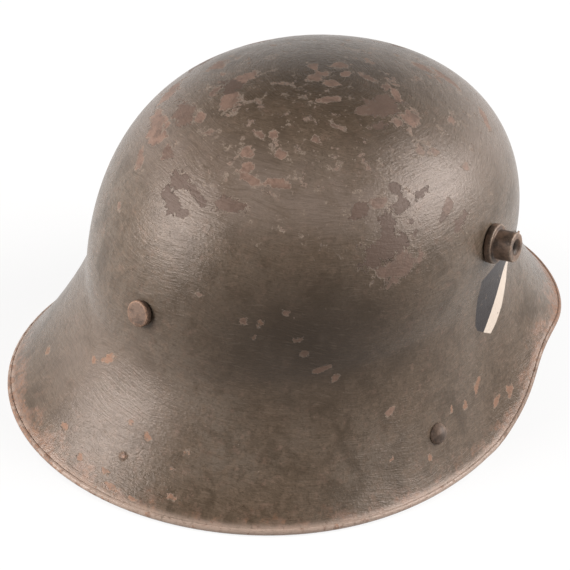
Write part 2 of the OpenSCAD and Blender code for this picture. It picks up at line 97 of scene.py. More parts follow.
def full_turn(count: int) -> Array:
    """Even angles all the way round, in radians."""
    return np.linspace(0, 2 * np.pi, count, endpoint=False)


def from_front(turn: Array) -> Array:
    """Angles in radians as degrees from -180 to 180, 0 at the front."""
    return np.degrees((turn + np.pi) % (2 * np.pi) - np.pi)


def around(front: float, side: float, rear: float, turn: Array) -> Array:
    """Turns a value set at the front, the sides and the rear smoothly round the helmet."""
    even, tilt, pinch = (front + 2 * side + rear) / 4, (front - rear) / 2, (front - 2 * side + rear) / 4
    return even + tilt * np.cos(turn) + pinch * np.cos(2 * turn)


def unit(v: Array) -> Array:
    """Scales vectors along the last axis to length 1."""
    return v / np.maximum(np.linalg.norm(v, axis=-1, keepdims=True), TINY)


def bezier(p: Sequence[Array], u: Array) -> Array:
    """Points of cubic curves with four control points each, at shares of the way along."""
    u, v = np.asarray(u)[..., None], 1 - np.asarray(u)[..., None]
    return v**3 * p[0] + 3 * u * v**2 * p[1] + 3 * u**2 * v * p[2] + u**3 * p[3]


def bezier_way(p: Sequence[Array], u: Array) -> Array:
    """Directions of the same curves, of any length."""
    u, v = np.asarray(u)[..., None], 1 - np.asarray(u)[..., None]
    return v**2 * (p[1] - p[0]) + 2 * u * v * (p[2] - p[1]) + u**2 * (p[3] - p[2])


def at_turn(q: Array, turn: Array) -> Array:
    """The points at radii and heights, q, at angles round the helmet in radians."""
    return np.stack([-q[..., 0] * np.sin(turn), -q[..., 0] * np.cos(turn), q[..., 1]], -1)


def gone_by(path: Array) -> Array:
    """Distance gone from a path's first point to each of its points."""
    return np.concatenate([[0], np.cumsum(np.linalg.norm(np.diff(path, axis=0), axis=1))])


def read_at(values: Array, gone: Array, at: Array) -> Array:
    """Points or directions kept along a path, read at distances from its start."""
    return np.stack([np.interp(at, gone, values[:, k]) for k in range(3)], -1)


class Grain:
    """Smooth noise in space that is the same on every run."""

    AXIS_PRIMES = (374761393, 668265263, 2147483647)
    SEED_PRIME = 1274126177
    STIR_PRIME = 1103515245
    WORD = 0xFFFFFFFF
    TOP = 0xFFFFFF
    OFFSET = 100.5

    def __init__(self, seed: int, size: float, octaves: int = 3) -> None:
        """Sets the noise up.

        Args:
            seed: picks one pattern.
            size: the width of its largest lumps, in millimetres.
            octaves: how many halvings of the size are added.
        """
        self.seed = seed
        self.size = size
        self.octaves = octaves

    def _lattice(self, cell: Array) -> Array:
        """Gives each cell of space its own value.

        Args:
            cell: three whole numbers along the last axis.

        Returns:
            A value from 0 to 1 for each cell.
        """
        h = sum(cell[..., k] * prime for k, prime in enumerate(self.AXIS_PRIMES))
        h = (h + self.seed * self.SEED_PRIME) & self.WORD
        h = ((h ^ (h >> 13)) * self.STIR_PRIME) & self.WORD
        return ((h ^ (h >> 16)) & self.TOP) / float(self.TOP)

    def at(self, points: Array) -> Array:
        """Gives the noise at points, from about -1 to 1.

        Args:
            points: x, y and z in millimetres along the last axis.

        Returns:
            One value for each point.
        """
        total = np.zeros(points.shape[:-1])
        share, size = 1.0, self.size
        for _ in range(self.octaves):
            p = points / size + self.OFFSET
            base = np.floor(p).astype(np.int64)
            f = ease(p - base)
            value = np.zeros(points.shape[:-1])
            for corner in np.ndindex(2, 2, 2):
                weight = np.prod([f[..., k] if corner[k] else 1 - f[..., k] for k in range(3)], axis=0)
                value += weight * self._lattice(base + np.array(corner))
            total += share * (2 * value - 1)
            share, size = share / 2, size / 2
        return total


def grid_faces(rows: int, cols: int, wrap_rows: bool, wrap_cols: bool) -> Array:
    """Quads of a grid of points.

    Args:
        rows: number of rows of points.
        cols: number of points in a row.
        wrap_rows: whether the last row joins the first.
        wrap_cols: whether a row's last point joins its first.

    Returns:
        The quads, four point numbers each.
    """
    i, j = np.meshgrid(
        np.arange(rows if wrap_rows else rows - 1),
        np.arange(cols if wrap_cols else cols - 1),
        indexing="ij",
    )
    a, b = i * cols + j, i * cols + (j + 1) % cols
    c, d = (i + 1) % rows * cols + (j + 1) % cols, (i + 1) % rows * cols + j
    return np.stack([a, b, c, d], -1).reshape(-1, 4)


def build(name: str, points: Array, faces: Sequence[Sequence[int]], mirror: bool = False) -> Piece:
    """Makes a smooth-shaded object whose place is in its mesh, with its faces turned outwards.

    Args:
        name: the piece's name.
        points: x, y and z in millimetres.
        faces: point numbers of each face.
        mirror: whether to mirror it to the wearer's left.

    Returns:
        The object.
    """
    where = np.asarray(points, float).reshape(-1, 3) * MM
    if mirror:
        where = where * (-1, 1, 1)
    mesh = bpy.data.meshes.new(name)
    mesh.from_pydata(where.tolist(), [], [list(map(int, f)) for f in faces])
    mesh.validate()
    mesh.shade_smooth()
    piece = bpy.data.objects.new(name, mesh)
    bpy.context.scene.collection.objects.link(piece)
    turn_outwards(piece)
    return piece


def turn_outwards(piece: Piece) -> None:
    """Turns a closed mesh's faces outwards, by the sign of its volume.

    Args:
        piece: the object whose mesh is turned.
    """
    mesh = piece.data
    mesh.calc_loop_triangles()
    corners = np.zeros(len(mesh.loop_triangles) * 3, np.int64)
    mesh.loop_triangles.foreach_get("vertices", corners)
    where = np.zeros(len(mesh.vertices) * 3)
    mesh.vertices.foreach_get("co", where)
    t = where.reshape(-1, 3)[corners.reshape(-1, 3)]
    if (np.cross(t[:, 0], t[:, 1]) * t[:, 2]).sum() < 0:
        mesh.flip_normals()


def mark(piece: Piece, name: str, values: Array) -> None:
    """Stores one number for each point of a piece, for its material to read."""
    stored = piece.data.attributes.new(name, "FLOAT", "POINT")
    stored.data.foreach_set("value", np.asarray(values, np.float32).ravel())


def applied(piece: Piece) -> None:
    """Applies a piece's modifiers to its mesh.

    Args:
        piece: the object, which gets a new mesh.
    """
    mesh = bpy.data.meshes.new_from_object(piece.evaluated_get(bpy.context.evaluated_depsgraph_get()))
    piece.modifiers.clear()
    piece.data = mesh


def cut(piece: Piece, cutters: Sequence[Piece]) -> None:
    """Cuts other solids out of a piece and deletes them.

    Args:
        piece: what is cut.
        cutters: what is cut out of it, none of them touching another.
    """
    step, tool = piece.modifiers.new("cut", "BOOLEAN"), join(cutters)
    step.operation, step.solver, step.object = "DIFFERENCE", "EXACT", tool
    applied(piece)
    bpy.data.objects.remove(tool)


def join(pieces: Sequence[Piece]) -> Piece:
    """Joins pieces into the first one.

    Args:
        pieces: the objects.

    Returns:
        The first of them, now with all their meshes.
    """
    chosen = list(pieces)
    with bpy.context.temp_override(
        active_object=chosen[0], object=chosen[0], selected_objects=chosen, selected_editable_objects=chosen
    ):
        bpy.ops.object.join()
    return pieces[0]


def rounded_box_section(wide: float, thick: float, radius: float, corner_n: int, flat_n: int) -> Array:
    """A rectangle with round corners, as a closed ring of points.

    Args:
        wide: its size along the second axis.
        thick: its size along the first axis.
        radius: of its corners.
        corner_n: steps in each corner.
        flat_n: steps along each long side.

    Returns:
        Points with two coordinates, centred on 0.
    """
    ring = []
    for k, (sx, sy) in enumerate(((1, 1), (-1, 1), (-1, -1), (1, -1))):
        centre = np.array([sx * (thick / 2 - radius), sy * (wide / 2 - radius)])
        for a in np.radians(np.linspace(90 * k, 90 * k + 90, corner_n + 1)):
            ring.append(centre + radius * np.array([math.cos(a), math.sin(a)]))
        if k in (1, 3):
            end = (-1 if k == 1 else 1) * np.array([thick / 2, wide / 2 - radius])
            ring += [ring[-1] + (end - ring[-1]) * s / flat_n for s in range(1, flat_n)]
    return np.array(ring)


def swept(name: str, path: Array, side: Array, up: Array, section: Array, closed: bool) -> Piece:
    """Sweeps a closed section along a path.

    Args:
        name: the piece's name.
        path: points along the way, in millimetres.
        side: the section's first direction at each point.
        up: the section's second direction at each point.
        section: one ring of the section's points for each point of the path.
        closed: whether the path's end joins its start.

    Returns:
        The object.
    """
    points = path[:, None] + section[..., :1] * side[:, None] + section[..., 1:] * up[:, None]
    rows, cols = points.shape[:2]
    faces = grid_faces(rows, cols, closed, True).tolist()
    if not closed:
        faces += [list(range(cols))[::-1], list(range((rows - 1) * cols, rows * cols))]
    return build(name, points, faces)


def tube(name: str, path: Array, radius: Array, sides: int) -> Piece:
    """Makes a round tube along a closed level path, without twist.

    Args:
        name: the piece's name.
        path: points along the way, in millimetres.
        radius: of the tube at each point.
        sides: of its section.

    Returns:
        The object.
    """
    way = unit(np.roll(path, -1, 0) - np.roll(path, 1, 0))
    side = unit(np.cross(way, [0.0, 0.0, 1.0]))
    a = full_turn(sides)
    ring = np.stack([np.cos(a), np.sin(a)], -1)
    return swept(name, path, side, np.cross(side, way), ring[None] * radius[:, None, None], True)


def along(path: Array, step: float) -> Array:
    """Points at even steps along a path, from its first to its last."""
    gone = gone_by(path)
    return read_at(path, gone, np.linspace(0, gone[-1], max(2, round(gone[-1] / step) + 1)))


def stitch_run(
    path: Array, out: Array, pitch: float, long: float, thick: float
) -> tuple[Array, list[list[int]]]:
    """Points and faces of a row of sewn stitches.

    Args:
        path: points that the seam follows on the surface.
        out: the surface's outward direction at each of them.
        pitch: distance from one stitch to the next.
        long: length of one stitch.
        thick: thickness of the thread.

    Returns:
        The points, and the faces that number them from 0.
    """
    gone = gone_by(path)
    starts = np.arange(pitch / 2, gone[-1] - long, pitch)
    shares = np.array([0.0, 0.2, 0.5, 0.8, 1.0])
    fat = np.array([0.25, 0.9, 1.0, 0.9, 0.25])[:, None, None]
    lift = np.array([-0.45, 0.1, 0.3, 0.1, -0.45]) * thick
    sides, last = 6, len(shares) - 1
    a = full_turn(sides)[:, None]
    points: list[Array] = []
    faces: list[list[int]] = []
    for start in starts:
        s = start + shares * long
        middle = read_at(path, gone, s)
        lifted = unit(read_at(out, gone, s))
        side = unit(np.cross(unit(np.gradient(middle, axis=0)), lifted))
        middle = middle + lifted * lift[:, None]
        ring = middle[:, None] + thick / 2 * fat * (np.cos(a) * side[:, None] + np.sin(a) * lifted[:, None])
        first = sum(len(p) for p in points)
        points.append(ring.reshape(-1, 3))
        faces += (grid_faces(last + 1, sides, False, True) + first).tolist()
        faces += [[first + k for k in range(sides)][::-1], [first + last * sides + k for k in range(sides)]]
    return np.concatenate(points), faces


class Graph:
    """The nodes of a material or a world, with a short call for each kind of node."""

    def __init__(self, name: str, world: bool = False) -> None:
        """Starts with no nodes.

        Args:
            name: the material's or the world's name.
            world: whether it is a world.
        """
        self.owner = (bpy.data.worlds if world else bpy.data.materials).new(name)
        self.owner.use_nodes = True
        self.tree = self.owner.node_tree
        self.tree.nodes.clear()
        self.output = "ShaderNodeOutputWorld" if world else "ShaderNodeOutputMaterial"
        self._position: Socket | None = None

    def feed(self, socket: Socket, value: Value) -> None:
        """Links a socket to another, or sets its value.

        Args:
            socket: an input.
            value: the output that feeds it, or its number, colour or vector.
        """
        if isinstance(value, bpy.types.NodeSocket):
            self.tree.links.new(value, socket)
        elif socket.type == "RGBA" and len(value) == 3:
            socket.default_value = (*value, 1)
        else:
            socket.default_value = value

    def node(self, kind: str, inputs: dict[str | int, Value], **settings: str | bool) -> bpy.types.Node:
        """Adds a node.

        Args:
            kind: Blender's name of the node's type.
            inputs: what goes into its sockets, by name or number.
            settings: its other properties.

        Returns:
            The node.
        """
        made = self.tree.nodes.new(kind)
        for name, value in settings.items():
            setattr(made, name, value)
        for key, value in inputs.items():
            self.feed(made.inputs[key], value)
        return made

    def position(self) -> Socket:
        """Reads the place on the piece.

        Returns:
            Its vector, in metres.
        """
        if self._position is None:
            self._position = self.node("ShaderNodeTexCoord", {}).outputs["Object"]
        return self._position

    def mark(self, name: str) -> Socket:
        """A number stored on the piece's points."""
        return self.node("ShaderNodeAttribute", {}, attribute_name=name).outputs["Fac"]

    def parts(self, vector: Socket) -> tuple[Socket, Socket, Socket]:
        """A vector's three numbers."""
        out = self.node("ShaderNodeSeparateXYZ", {0: vector}).outputs
        return out[0], out[1], out[2]

    def vector(self, x: Value, y: Value, z: Value) -> Socket:
        """A vector of three numbers."""
        return self.node("ShaderNodeCombineXYZ", {0: x, 1: y, 2: z}).outputs[0]

    def scaled(self, vector: Socket, scale: Colour) -> Socket:
        """A vector with each number multiplied by its own factor."""
        return self.node("ShaderNodeVectorMath", {0: vector, 1: scale}, operation="MULTIPLY").outputs[0]

    def noise(
        self, vector: Socket, scale: float, detail: float = 3, rough: float = 0.5, bend: float = 0
    ) -> Socket:
        """Cloudy noise from 0 to 1, with as many lumps to a metre as its scale."""
        inputs = {"Vector": vector, "Scale": scale, "Detail": detail, "Roughness": rough, "Distortion": bend}
        return self.node("ShaderNodeTexNoise", inputs).outputs[0]

    def cells(self, vector: Socket, scale: float, edges: bool = False) -> Socket:
        """Distance from the middles of scattered cells, or from the borders between them."""
        inputs, feature = {"Vector": vector, "Scale": scale}, "DISTANCE_TO_EDGE" if edges else "F1"
        return self.node("ShaderNodeTexVoronoi", inputs, feature=feature).outputs["Distance"]

    def math(self, operation: str, a: Value, b: Value = 0.0) -> Socket:
        """One step of arithmetic."""
        return self.node("ShaderNodeMath", {0: a, 1: b}, operation=operation).outputs[0]

    def times(self, a: Value, b: Value) -> Socket:
        """The product of two values."""
        return self.math("MULTIPLY", a, b)

    def total(self, *terms: tuple[Value, float]) -> Socket:
        """Adds up.

        Args:
            terms: values, each with its own weight.

        Returns:
            Their sum.
        """
        found: Value = 0.0
        for value, weight in terms:
            inputs = {0: value, 1: weight, 2: found}
            found = self.node("ShaderNodeMath", inputs, operation="MULTIPLY_ADD").outputs[0]
        return found

    def step(self, value: Value, low: float, high: float, first: Value = 0.0, last: Value = 1.0) -> Socket:
        """A smooth change from first to last as value goes from low to high."""
        inputs = {"Value": value, "From Min": low, "From Max": high, "To Min": first, "To Max": last}
        return self.node("ShaderNodeMapRange", inputs, interpolation_type="SMOOTHSTEP").outputs[0]

    def mix(self, share: Value, a: Value, b: Value) -> Socket:
        """Mixes two colours, with a share of the second from 0 to 1."""
        return self.node("ShaderNodeMix", {0: share, 6: a, 7: b}, data_type="RGBA").outputs[2]

    def laid(self, under: Value, over: Value, mask: Socket, weight: Value = 1.0) -> Socket:
        """Lays a colour over another where a mask is, as strongly as the weight says."""
        return self.mix(self.times(mask, weight), under, over)

    def bump(self, height: Socket, distance: float) -> Socket:
        """The normal bent by a height, of which 1 stands for a distance in metres."""
        inputs = {"Height": height, "Distance": distance, "Strength": 1.0}
        return self.node("ShaderNodeBump", inputs).outputs[0]

    def shown(self, surface: Socket) -> Finish | bpy.types.World:
        """Shows a shader's output on the surface, and gives back the material or world."""
        self.node(self.output, {"Surface": surface})
        return self.owner

    def done(self, **inputs: Value) -> Finish:
        """Ends a material with the usual surface shader, its sockets named with _ for a space."""
        named = {name.replace("_", " "): value for name, value in inputs.items()}
        return self.shown(self.node("ShaderNodeBsdfPrincipled", named).outputs[0])


@dataclass(frozen=True)
class Shield:
    """The painted shield on the right side, parted from corner to corner in two plain colours."""

    turn: float = 65.0
    height: float = 72.0
    mm_a_degree: float = 1.6
    outline: tuple[Pair, ...] = (
        (16.8, 15.8), (17.6, -8.5), (15.7, -12.0), (10.4, -15.4), (5.1, -18.6), (0.8, -16.0),
        (-6.4, -10.2), (-14.7, -0.8), (-19.5, 6.7), (-19.8, 14.2), (-18.2, 21.8),
    )
    parting: tuple[Pair, Pair] = ((10.2, -15.0), (-14.7, 9.5))
    slate: Colour = (0.012, 0.009, 0.010)
    cream: Colour = (0.62, 0.53, 0.45)
    dirt: float = 0.12
    ragged: float = 0.35
    ragged_scale: float = 900.0
    edge_soft: float = 0.12
    parting_soft: float = 0.1
    everywhere: float = 1000.0

    @staticmethod
    def side_of(g: Graph, across: Socket, high: Socket, a: Pair, b: Pair) -> Socket:
        """How far a place lies to the shield's side of the line from a to b, in millimetres."""
        x, y = (float(w) for w in unit(np.array([b[0] - a[0], b[1] - a[1]], float)))
        return g.math("SUBTRACT", g.total((across, y), (high, -x)), y * a[0] - x * a[1])

    def masks(self, g: Graph) -> tuple[Socket, Socket]:
        """Draws the shield.

        Args:
            g: the material that it is drawn in.

        Returns:
            Where the shield is, and which part of it is cream.
        """
        x, y, z = g.parts(g.position())
        degrees = g.times(g.math("ARCTAN2", g.times(x, -1.0), g.times(y, -1.0)), 180 / math.pi)
        across = g.times(g.math("SUBTRACT", degrees, self.turn), self.mm_a_degree)
        high = g.math("SUBTRACT", g.math("DIVIDE", z, MM), self.height)
        wander = g.math("SUBTRACT", g.noise(g.position(), self.ragged_scale, 3), 0.5)
        wander = g.times(wander, self.ragged)
        inside: Value = self.everywhere
        for a, b in zip(self.outline, self.outline[1:] + self.outline[:1]):
            inside = g.math("MINIMUM", inside, self.side_of(g, across, high, a, b))
        inside = g.math("ADD", inside, wander)
        part = g.math("ADD", self.side_of(g, across, high, self.parting[1], self.parting[0]), wander)
        soft = self.parting_soft
        return g.step(inside, -self.edge_soft, self.edge_soft), g.step(part, -soft, soft)


class ShellSurface(Graph):
    """The nodes of the shell's paint, with the marks stored on its points and the noises over them."""

    def __init__(self, name: str) -> None:
        """Reads the marks and lays the noises, from broad clouds to the hairs of the brush.

        Args:
            name: the material's name.
        """
        super().__init__(name)
        self.level, self.bare, self.tone = (self.mark(stored) for stored in ("level", "bare", "tone"))
        # The rolled edge's mark is pale on its top, partly a painted highlight, and below 0 underneath, where
        # painted shadow goes.
        self.bead, self.wear, self.rim = (self.mark(stored) for stored in ("bead", "wear", "rim"))
        # One of these marks holds painted shade on the crown and the wall facing the camera, with a few
        # stains; another holds a painted highlight.
        self.inside, self.grime_and_shade, self.pale = (self.mark(stored) for stored in ("inside", "grime_and_shade", "pale"))
        pos = self.position()
        drifted = self.total((self.noise(pos, 26.0, 2), 0.016), (self.level, 1.0))
        self.broad = self.noise(pos, 13.0, 3, 0.5, 0.4)
        self.cloud = self.noise(pos, 55.0, 4, 0.6, 0.5)
        self.torn = self.noise(pos, 150.0, 3, 0.6)
        self.bitty = self.noise(pos, 430.0, 5, 0.7)
        self.fine = self.noise(pos, 760.0, 3, 0.65)
        self.strokes = self.noise(self.brushed(drifted, 75.0, 1000.0), 1.0, 3, 0.6)
        self.hairs = self.noise(self.brushed(drifted, 150.0, 2300.0), 1.0, 2, 0.5)

    def brushed(self, level: Socket, along_it: float, across_it: float) -> Socket:
        """The place, stretched level round the helmet as brush marks are."""
        x, y, _ = self.parts(self.position())
        return self.vector(self.times(x, along_it), self.times(y, along_it), self.times(level, across_it))


@dataclass(frozen=True)
class ShellPaint:
    """Old brown-olive paint with brush marks, flaked down to brown rust, with painted highlights and painted
    shade in its colour.
    """

    name: str = "shell_paint"
    paint: Colour = (0.108, 0.077, 0.053)
    paint_dark: Colour = (0.046, 0.031, 0.018)
    paint_grey: Colour = (0.140, 0.109, 0.084)
    paint_tan: Colour = (0.158, 0.112, 0.080)
    # Pale grey laid on as a painted highlight.
    painted_highlight_grey: Colour = (0.205, 0.160, 0.133)
    # Near black, for painted shade on the crown and the wall facing the camera, painted shadow under the
    # rolled edge, and a few dark stains.
    shade_and_stain: Colour = (0.029, 0.019, 0.011)
    rust: Colour = (0.145, 0.096, 0.074)
    rust_dark: Colour = (0.092, 0.060, 0.046)
    rust_pink: Colour = (0.245, 0.155, 0.118)
    rust_orange: Colour = (0.300, 0.160, 0.100)
    # Pale tan for the top of the rolled edge, partly worn paint and partly a painted highlight.
    rim_wear_and_highlight: Colour = (0.400, 0.305, 0.250)
    # Pale edge colour: for the lips round flakes it is partly the paint's chipped edge and partly a painted
    # glint; it also lightens brush hairs and the rims of bare patches.
    chipped_edge_and_glint: Colour = (0.34, 0.27, 0.215)
    gloss: float = 0.25
    relief: float = 0.00038
    specular: float = 0.33
    specular_tint: Colour = (1.0, 0.88, 0.82)
    blister: Colour = (-0.0150, 0.1312, 0.0174)
    blister_r: float = 0.0038
    blister_top_r: float = 0.0016
    shield: Shield = Shield()

    def dress(self) -> Finish:
        """Builds the material.

        Returns:
            The shell's paint.
        """
        g = ShellSurface(self.name)
        pos = g.position()
        apart = g.node("ShaderNodeVectorMath", {0: pos, 1: self.blister}, operation="DISTANCE")
        ragged = g.total((apart.outputs["Value"], 1.0), (g.noise(pos, 620.0, 4, 0.7), 0.0022))
        boil = g.step(ragged, self.blister_r, self.blister_top_r)
        colour, lost = self._flaked(g, self._painted(g))
        colour, bitten = self._rusted(g, colour, boil)
        worn = g.math("MAXIMUM", lost, bitten)
        rough = g.total(
            (g.strokes, 0.14), (g.cloud, 0.16), (g.hairs, 0.16), (worn, 0.20), (g.inside, 0.12),
            (1.0, self.gloss - 0.20),
        )
        height = g.total(
            (g.strokes, 0.36), (g.hairs, 0.22), (g.fine, 0.42), (g.bitty, 0.30), (g.cloud, 0.30),
            (lost, -0.5), (bitten, 0.25), (boil, 1.5),
        )
        colour, drawn = self._shielded(g, colour)
        rough = g.total((rough, 1.0), (drawn, 0.08))
        return g.done(
            Base_Color=colour, Roughness=rough, Normal=g.bump(height, self.relief),
            Specular_IOR_Level=self.specular, Specular_Tint=self.specular_tint,
        )

    def _painted(self, g: ShellSurface) -> Socket:
        """Mixes the paint with its stains, dirt and brush marks, a painted highlight where the paint is
        marked pale, and painted shade.

        Args:
            g: the shell's surface.

        Returns:
            Its colour.
        """
        pos = g.position()
        tan = g.noise(pos, 300.0, 4, 0.62)
        stain, tint = g.noise(pos, 95.0, 5, 0.7, 0.6), g.noise(pos, 230.0, 5, 0.7)
        colour = g.mix(g.step(g.broad, 0.40, 0.66), self.paint, self.paint_grey)
        colour = g.laid(colour, self.paint_tan, g.step(tan, 0.48, 0.64), 0.6)
        colour = g.laid(colour, self.paint_dark, g.step(stain, 0.50, 0.64), 0.42)
        colour = g.laid(colour, self.rust_pink, g.step(tint, 0.54, 0.68), 0.32)
        colour = g.laid(colour, self.paint_dark, g.step(g.fine, 0.48, 0.66), 0.45)
        colour = g.laid(colour, self.paint_dark, g.step(g.cloud, 0.48, 0.70), 0.6)
        # Painted highlight: pales the paint in a ring round the upper dome and on the rear left of the skirt.
        colour = g.laid(colour, self.painted_highlight_grey, g.pale, g.step(g.cloud, 0.30, 0.62, 0.35, 0.75))
        # Painted shade on the crown and the wall facing the camera, and a few dark stains.
        colour = g.laid(colour, self.shade_and_stain, g.grime_and_shade, g.step(g.cloud, 0.20, 0.50, 0.75, 1.0))
        colour = g.laid(colour, self.paint_dark, g.step(g.strokes, 0.48, 0.68), 0.30)
        return g.laid(colour, self.chipped_edge_and_glint, g.step(g.hairs, 0.58, 0.74), 0.12)

    def _flaked(self, g: ShellSurface, colour: Socket) -> tuple[Socket, Socket]:
        """Takes the paint off in flakes, chips and specks down to the rust, with pale lips round them that
        are partly the paint's torn edge and partly a painted glint.

        Args:
            g: the shell's surface.
            colour: the paint's colour.

        Returns:
            The colour, and where the paint is gone.
        """
        pos = g.position()
        flake = g.total((g.bare, 1.0), (g.torn, 2.2), (g.bitty, 1.9), (1.0, -2.07))
        chip = g.total((g.noise(pos, 135.0, 6, 0.68, 0.2), 1.0), (g.wear, 0.20), (1.0, -0.785))
        speck = g.total((g.noise(pos, 480.0, 4, 0.65), 1.0), (g.wear, 0.10), (1.0, -0.765))
        gone = g.math("MAXIMUM", flake, g.times(g.math("MAXIMUM", chip, speck), 3.0))
        lost = g.step(gone, -0.02, 0.04)
        lip = g.math("SUBTRACT", g.step(gone, -0.17, -0.02), lost)
        lip = g.times(lip, g.step(g.noise(pos, 210.0, 3), 0.44, 0.60))
        brink = g.math("SUBTRACT", g.step(gone, 0.0, 0.05), g.step(gone, 0.08, 0.24))

        rust = g.mix(g.step(g.tone, 0.20, 0.75), self.rust_dark, self.rust)
        rust = g.laid(rust, self.rust_pink, g.step(g.torn, 0.34, 0.62), g.step(g.tone, 0.30, 0.95))
        rust = g.mix(g.step(g.tone, 1.05, 1.25), rust, self.rust_orange)
        rust = g.laid(rust, self.rust_dark, g.step(g.bitty, 0.46, 0.64), 0.5)
        rust = g.laid(rust, self.chipped_edge_and_glint, brink, g.step(g.tone, 0.42, 0.70, 0.0, 0.5))
        # The same painted shade and stains over the bare rust.
        rust = g.laid(rust, self.shade_and_stain, g.grime_and_shade, 0.55)
        # The lips' pale edge and painted glint, weaker where painted shade lies.
        colour = g.laid(colour, self.chipped_edge_and_glint, lip, g.total((g.grime_and_shade, -0.6), (1.0, 0.7)))
        left_over = g.step(g.tone, 0.95, 1.25, 0.80, 0.25)
        return g.laid(colour, rust, lost, g.step(g.bitty, 0.36, 0.56, left_over, 1.0)), lost

    def _rusted(self, g: ShellSurface, colour: Socket, boil: Socket) -> tuple[Socket, Socket]:
        """Rusts the rim and the inside, pales the top of the rolled edge, partly as wear and partly as a
        painted highlight, and paints a shadow black along its underside.

        Args:
            g: the shell's surface.
            colour: the colour so far.
            boil: where the blister is.

        Returns:
            The colour, and where the rust has bitten.
        """
        pos = g.position()
        haze = g.step(g.total((g.noise(pos, 140.0, 5, 0.65), 1.0), (g.rim, 0.25)), 0.60, 0.82, 0.0, 0.6)
        bloom = g.mix(g.step(g.bitty, 0.46, 0.58), self.rust_pink, self.rust_orange)
        colour = g.laid(colour, bloom, haze, g.step(g.rim, 0.18, 0.60))
        # The rolled edge's pale top: rusty wear with a painted highlight.
        colour = g.laid(colour, self.rim_wear_and_highlight, g.times(g.bead, g.step(g.bitty, 0.22, 0.50)), 0.85)
        # Painted shadow, black along the rolled edge's underside.
        colour = g.laid(colour, self.shade_and_stain, g.bead, -0.8)
        eaten = g.total((g.noise(pos, 210.0, 5, 0.68, 0.3), 1.0), (g.rim, 0.21), (1.0, -0.80))
        bitten = g.step(eaten, -0.02, 0.06)
        orange = g.mix(g.step(g.fine, 0.38, 0.62), self.rust_orange, self.rust)
        colour = g.laid(colour, orange, g.math("MAXIMUM", bitten, boil), 0.8)
        return g.laid(colour, self.rust_dark, g.inside, 0.45), bitten

    def _shielded(self, g: ShellSurface, colour: Socket) -> tuple[Socket, Socket]:
        """Paints the shield over the outside, with chips out of it.

        Args:
            g: the shell's surface.
            colour: the colour under it.

        Returns:
            The colour, and where the shield is.
        """
        s = self.shield
        drawn, cream = s.masks(g)
        kept = g.step(g.total((g.noise(g.position(), 260.0, 6, 0.72), 1.0), (g.torn, 0.25)), 0.80, 0.78)
        drawn = g.times(g.times(drawn, kept), g.math("SUBTRACT", 1.0, g.inside))
        two_tone = g.laid(g.mix(cream, s.slate, s.cream), self.paint_dark, g.step(g.fine, 0.55, 0.75), s.dirt)
        return g.mix(drawn, colour, two_tone), drawn


@dataclass(frozen=True)
class RustySteel:
    """Forged steel that has rusted dark, with worn bright edges and painted shade in its bore."""

    name: str
    dark: Colour = (0.060, 0.039, 0.028)
    brown: Colour = (0.175, 0.110, 0.076)
    bright: Colour = (0.33, 0.245, 0.185)
    # Near black in and round the lug's air bore: painted shade in the hole.
    mouth: Colour = (0.016, 0.011, 0.008)
    rough: float = 0.46
    edge_share: float = 0.8
    relief: float = 0.00025

    def dress(self) -> Finish:
        """Builds the material.

        Returns:
            The steel.
        """
        g = Graph(self.name)
        pos = g.position()
        worn = g.mark("worn")
        cloud = g.noise(pos, 260.0, 4, 0.6, 0.3)
        fine = g.noise(pos, 1500.0, 4, 0.65)
        pits = g.step(g.cells(pos, 900.0), 0.10, 0.34)
        colour = g.mix(g.step(cloud, 0.36, 0.64), self.dark, self.brown)
        colour = g.laid(colour, self.bright, g.step(fine, 0.54, 0.72), 0.45)
        colour = g.laid(colour, self.bright, g.times(worn, self.edge_share), g.step(fine, 0.30, 0.60))
        colour = g.laid(colour, self.dark, g.math("SUBTRACT", 1.0, pits), 0.6)
        # Painted shade in the bore.
        colour = g.laid(colour, self.mouth, g.mark("mouth"), 0.85)
        rough = g.total((fine, 0.26), (worn, -0.08), (1.0, self.rough - 0.1))
        normal = g.bump(g.total((cloud, 0.5), (fine, 0.35), (pits, 0.25)), self.relief)
        return g.done(
            Base_Color=colour, Roughness=rough, Normal=normal, Metallic=0.1, Specular_IOR_Level=0.35
        )


@dataclass(frozen=True)
class DullSteel:
    """Plated or bare steel that has gone dull, for the fittings inside and on the strap."""

    name: str
    colour: Colour
    tarnish: Colour
    spotted: Colour = (0.10, 0.055, 0.032)
    rough: float = 0.38
    metallic: float = 0.85
    relief: float = 0.00008

    def dress(self) -> Finish:
        """Builds the material.

        Returns:
            The steel.
        """
        g = Graph(self.name)
        pos = g.position()
        cloud = g.noise(pos, 240.0, 4, 0.6, 0.4)
        fine = g.noise(pos, 1900.0, 3, 0.6)
        spots = g.step(g.noise(pos, 620.0, 4, 0.6), 0.60, 0.70)
        scratch = g.noise(g.scaled(pos, (300.0, 2600.0, 900.0)), 1.0, 2, 0.5)
        colour = g.mix(g.step(cloud, 0.40, 0.68), self.colour, self.tarnish)
        colour = g.laid(colour, self.spotted, spots, 0.7)
        rough = g.total((cloud, 0.24), (scratch, 0.14), (spots, 0.25), (1.0, self.rough - 0.16))
        normal = g.bump(g.total((fine, 0.5), (scratch, 0.35), (spots, 0.3)), self.relief)
        return g.done(Base_Color=colour, Roughness=rough, Normal=normal, Metallic=self.metallic)


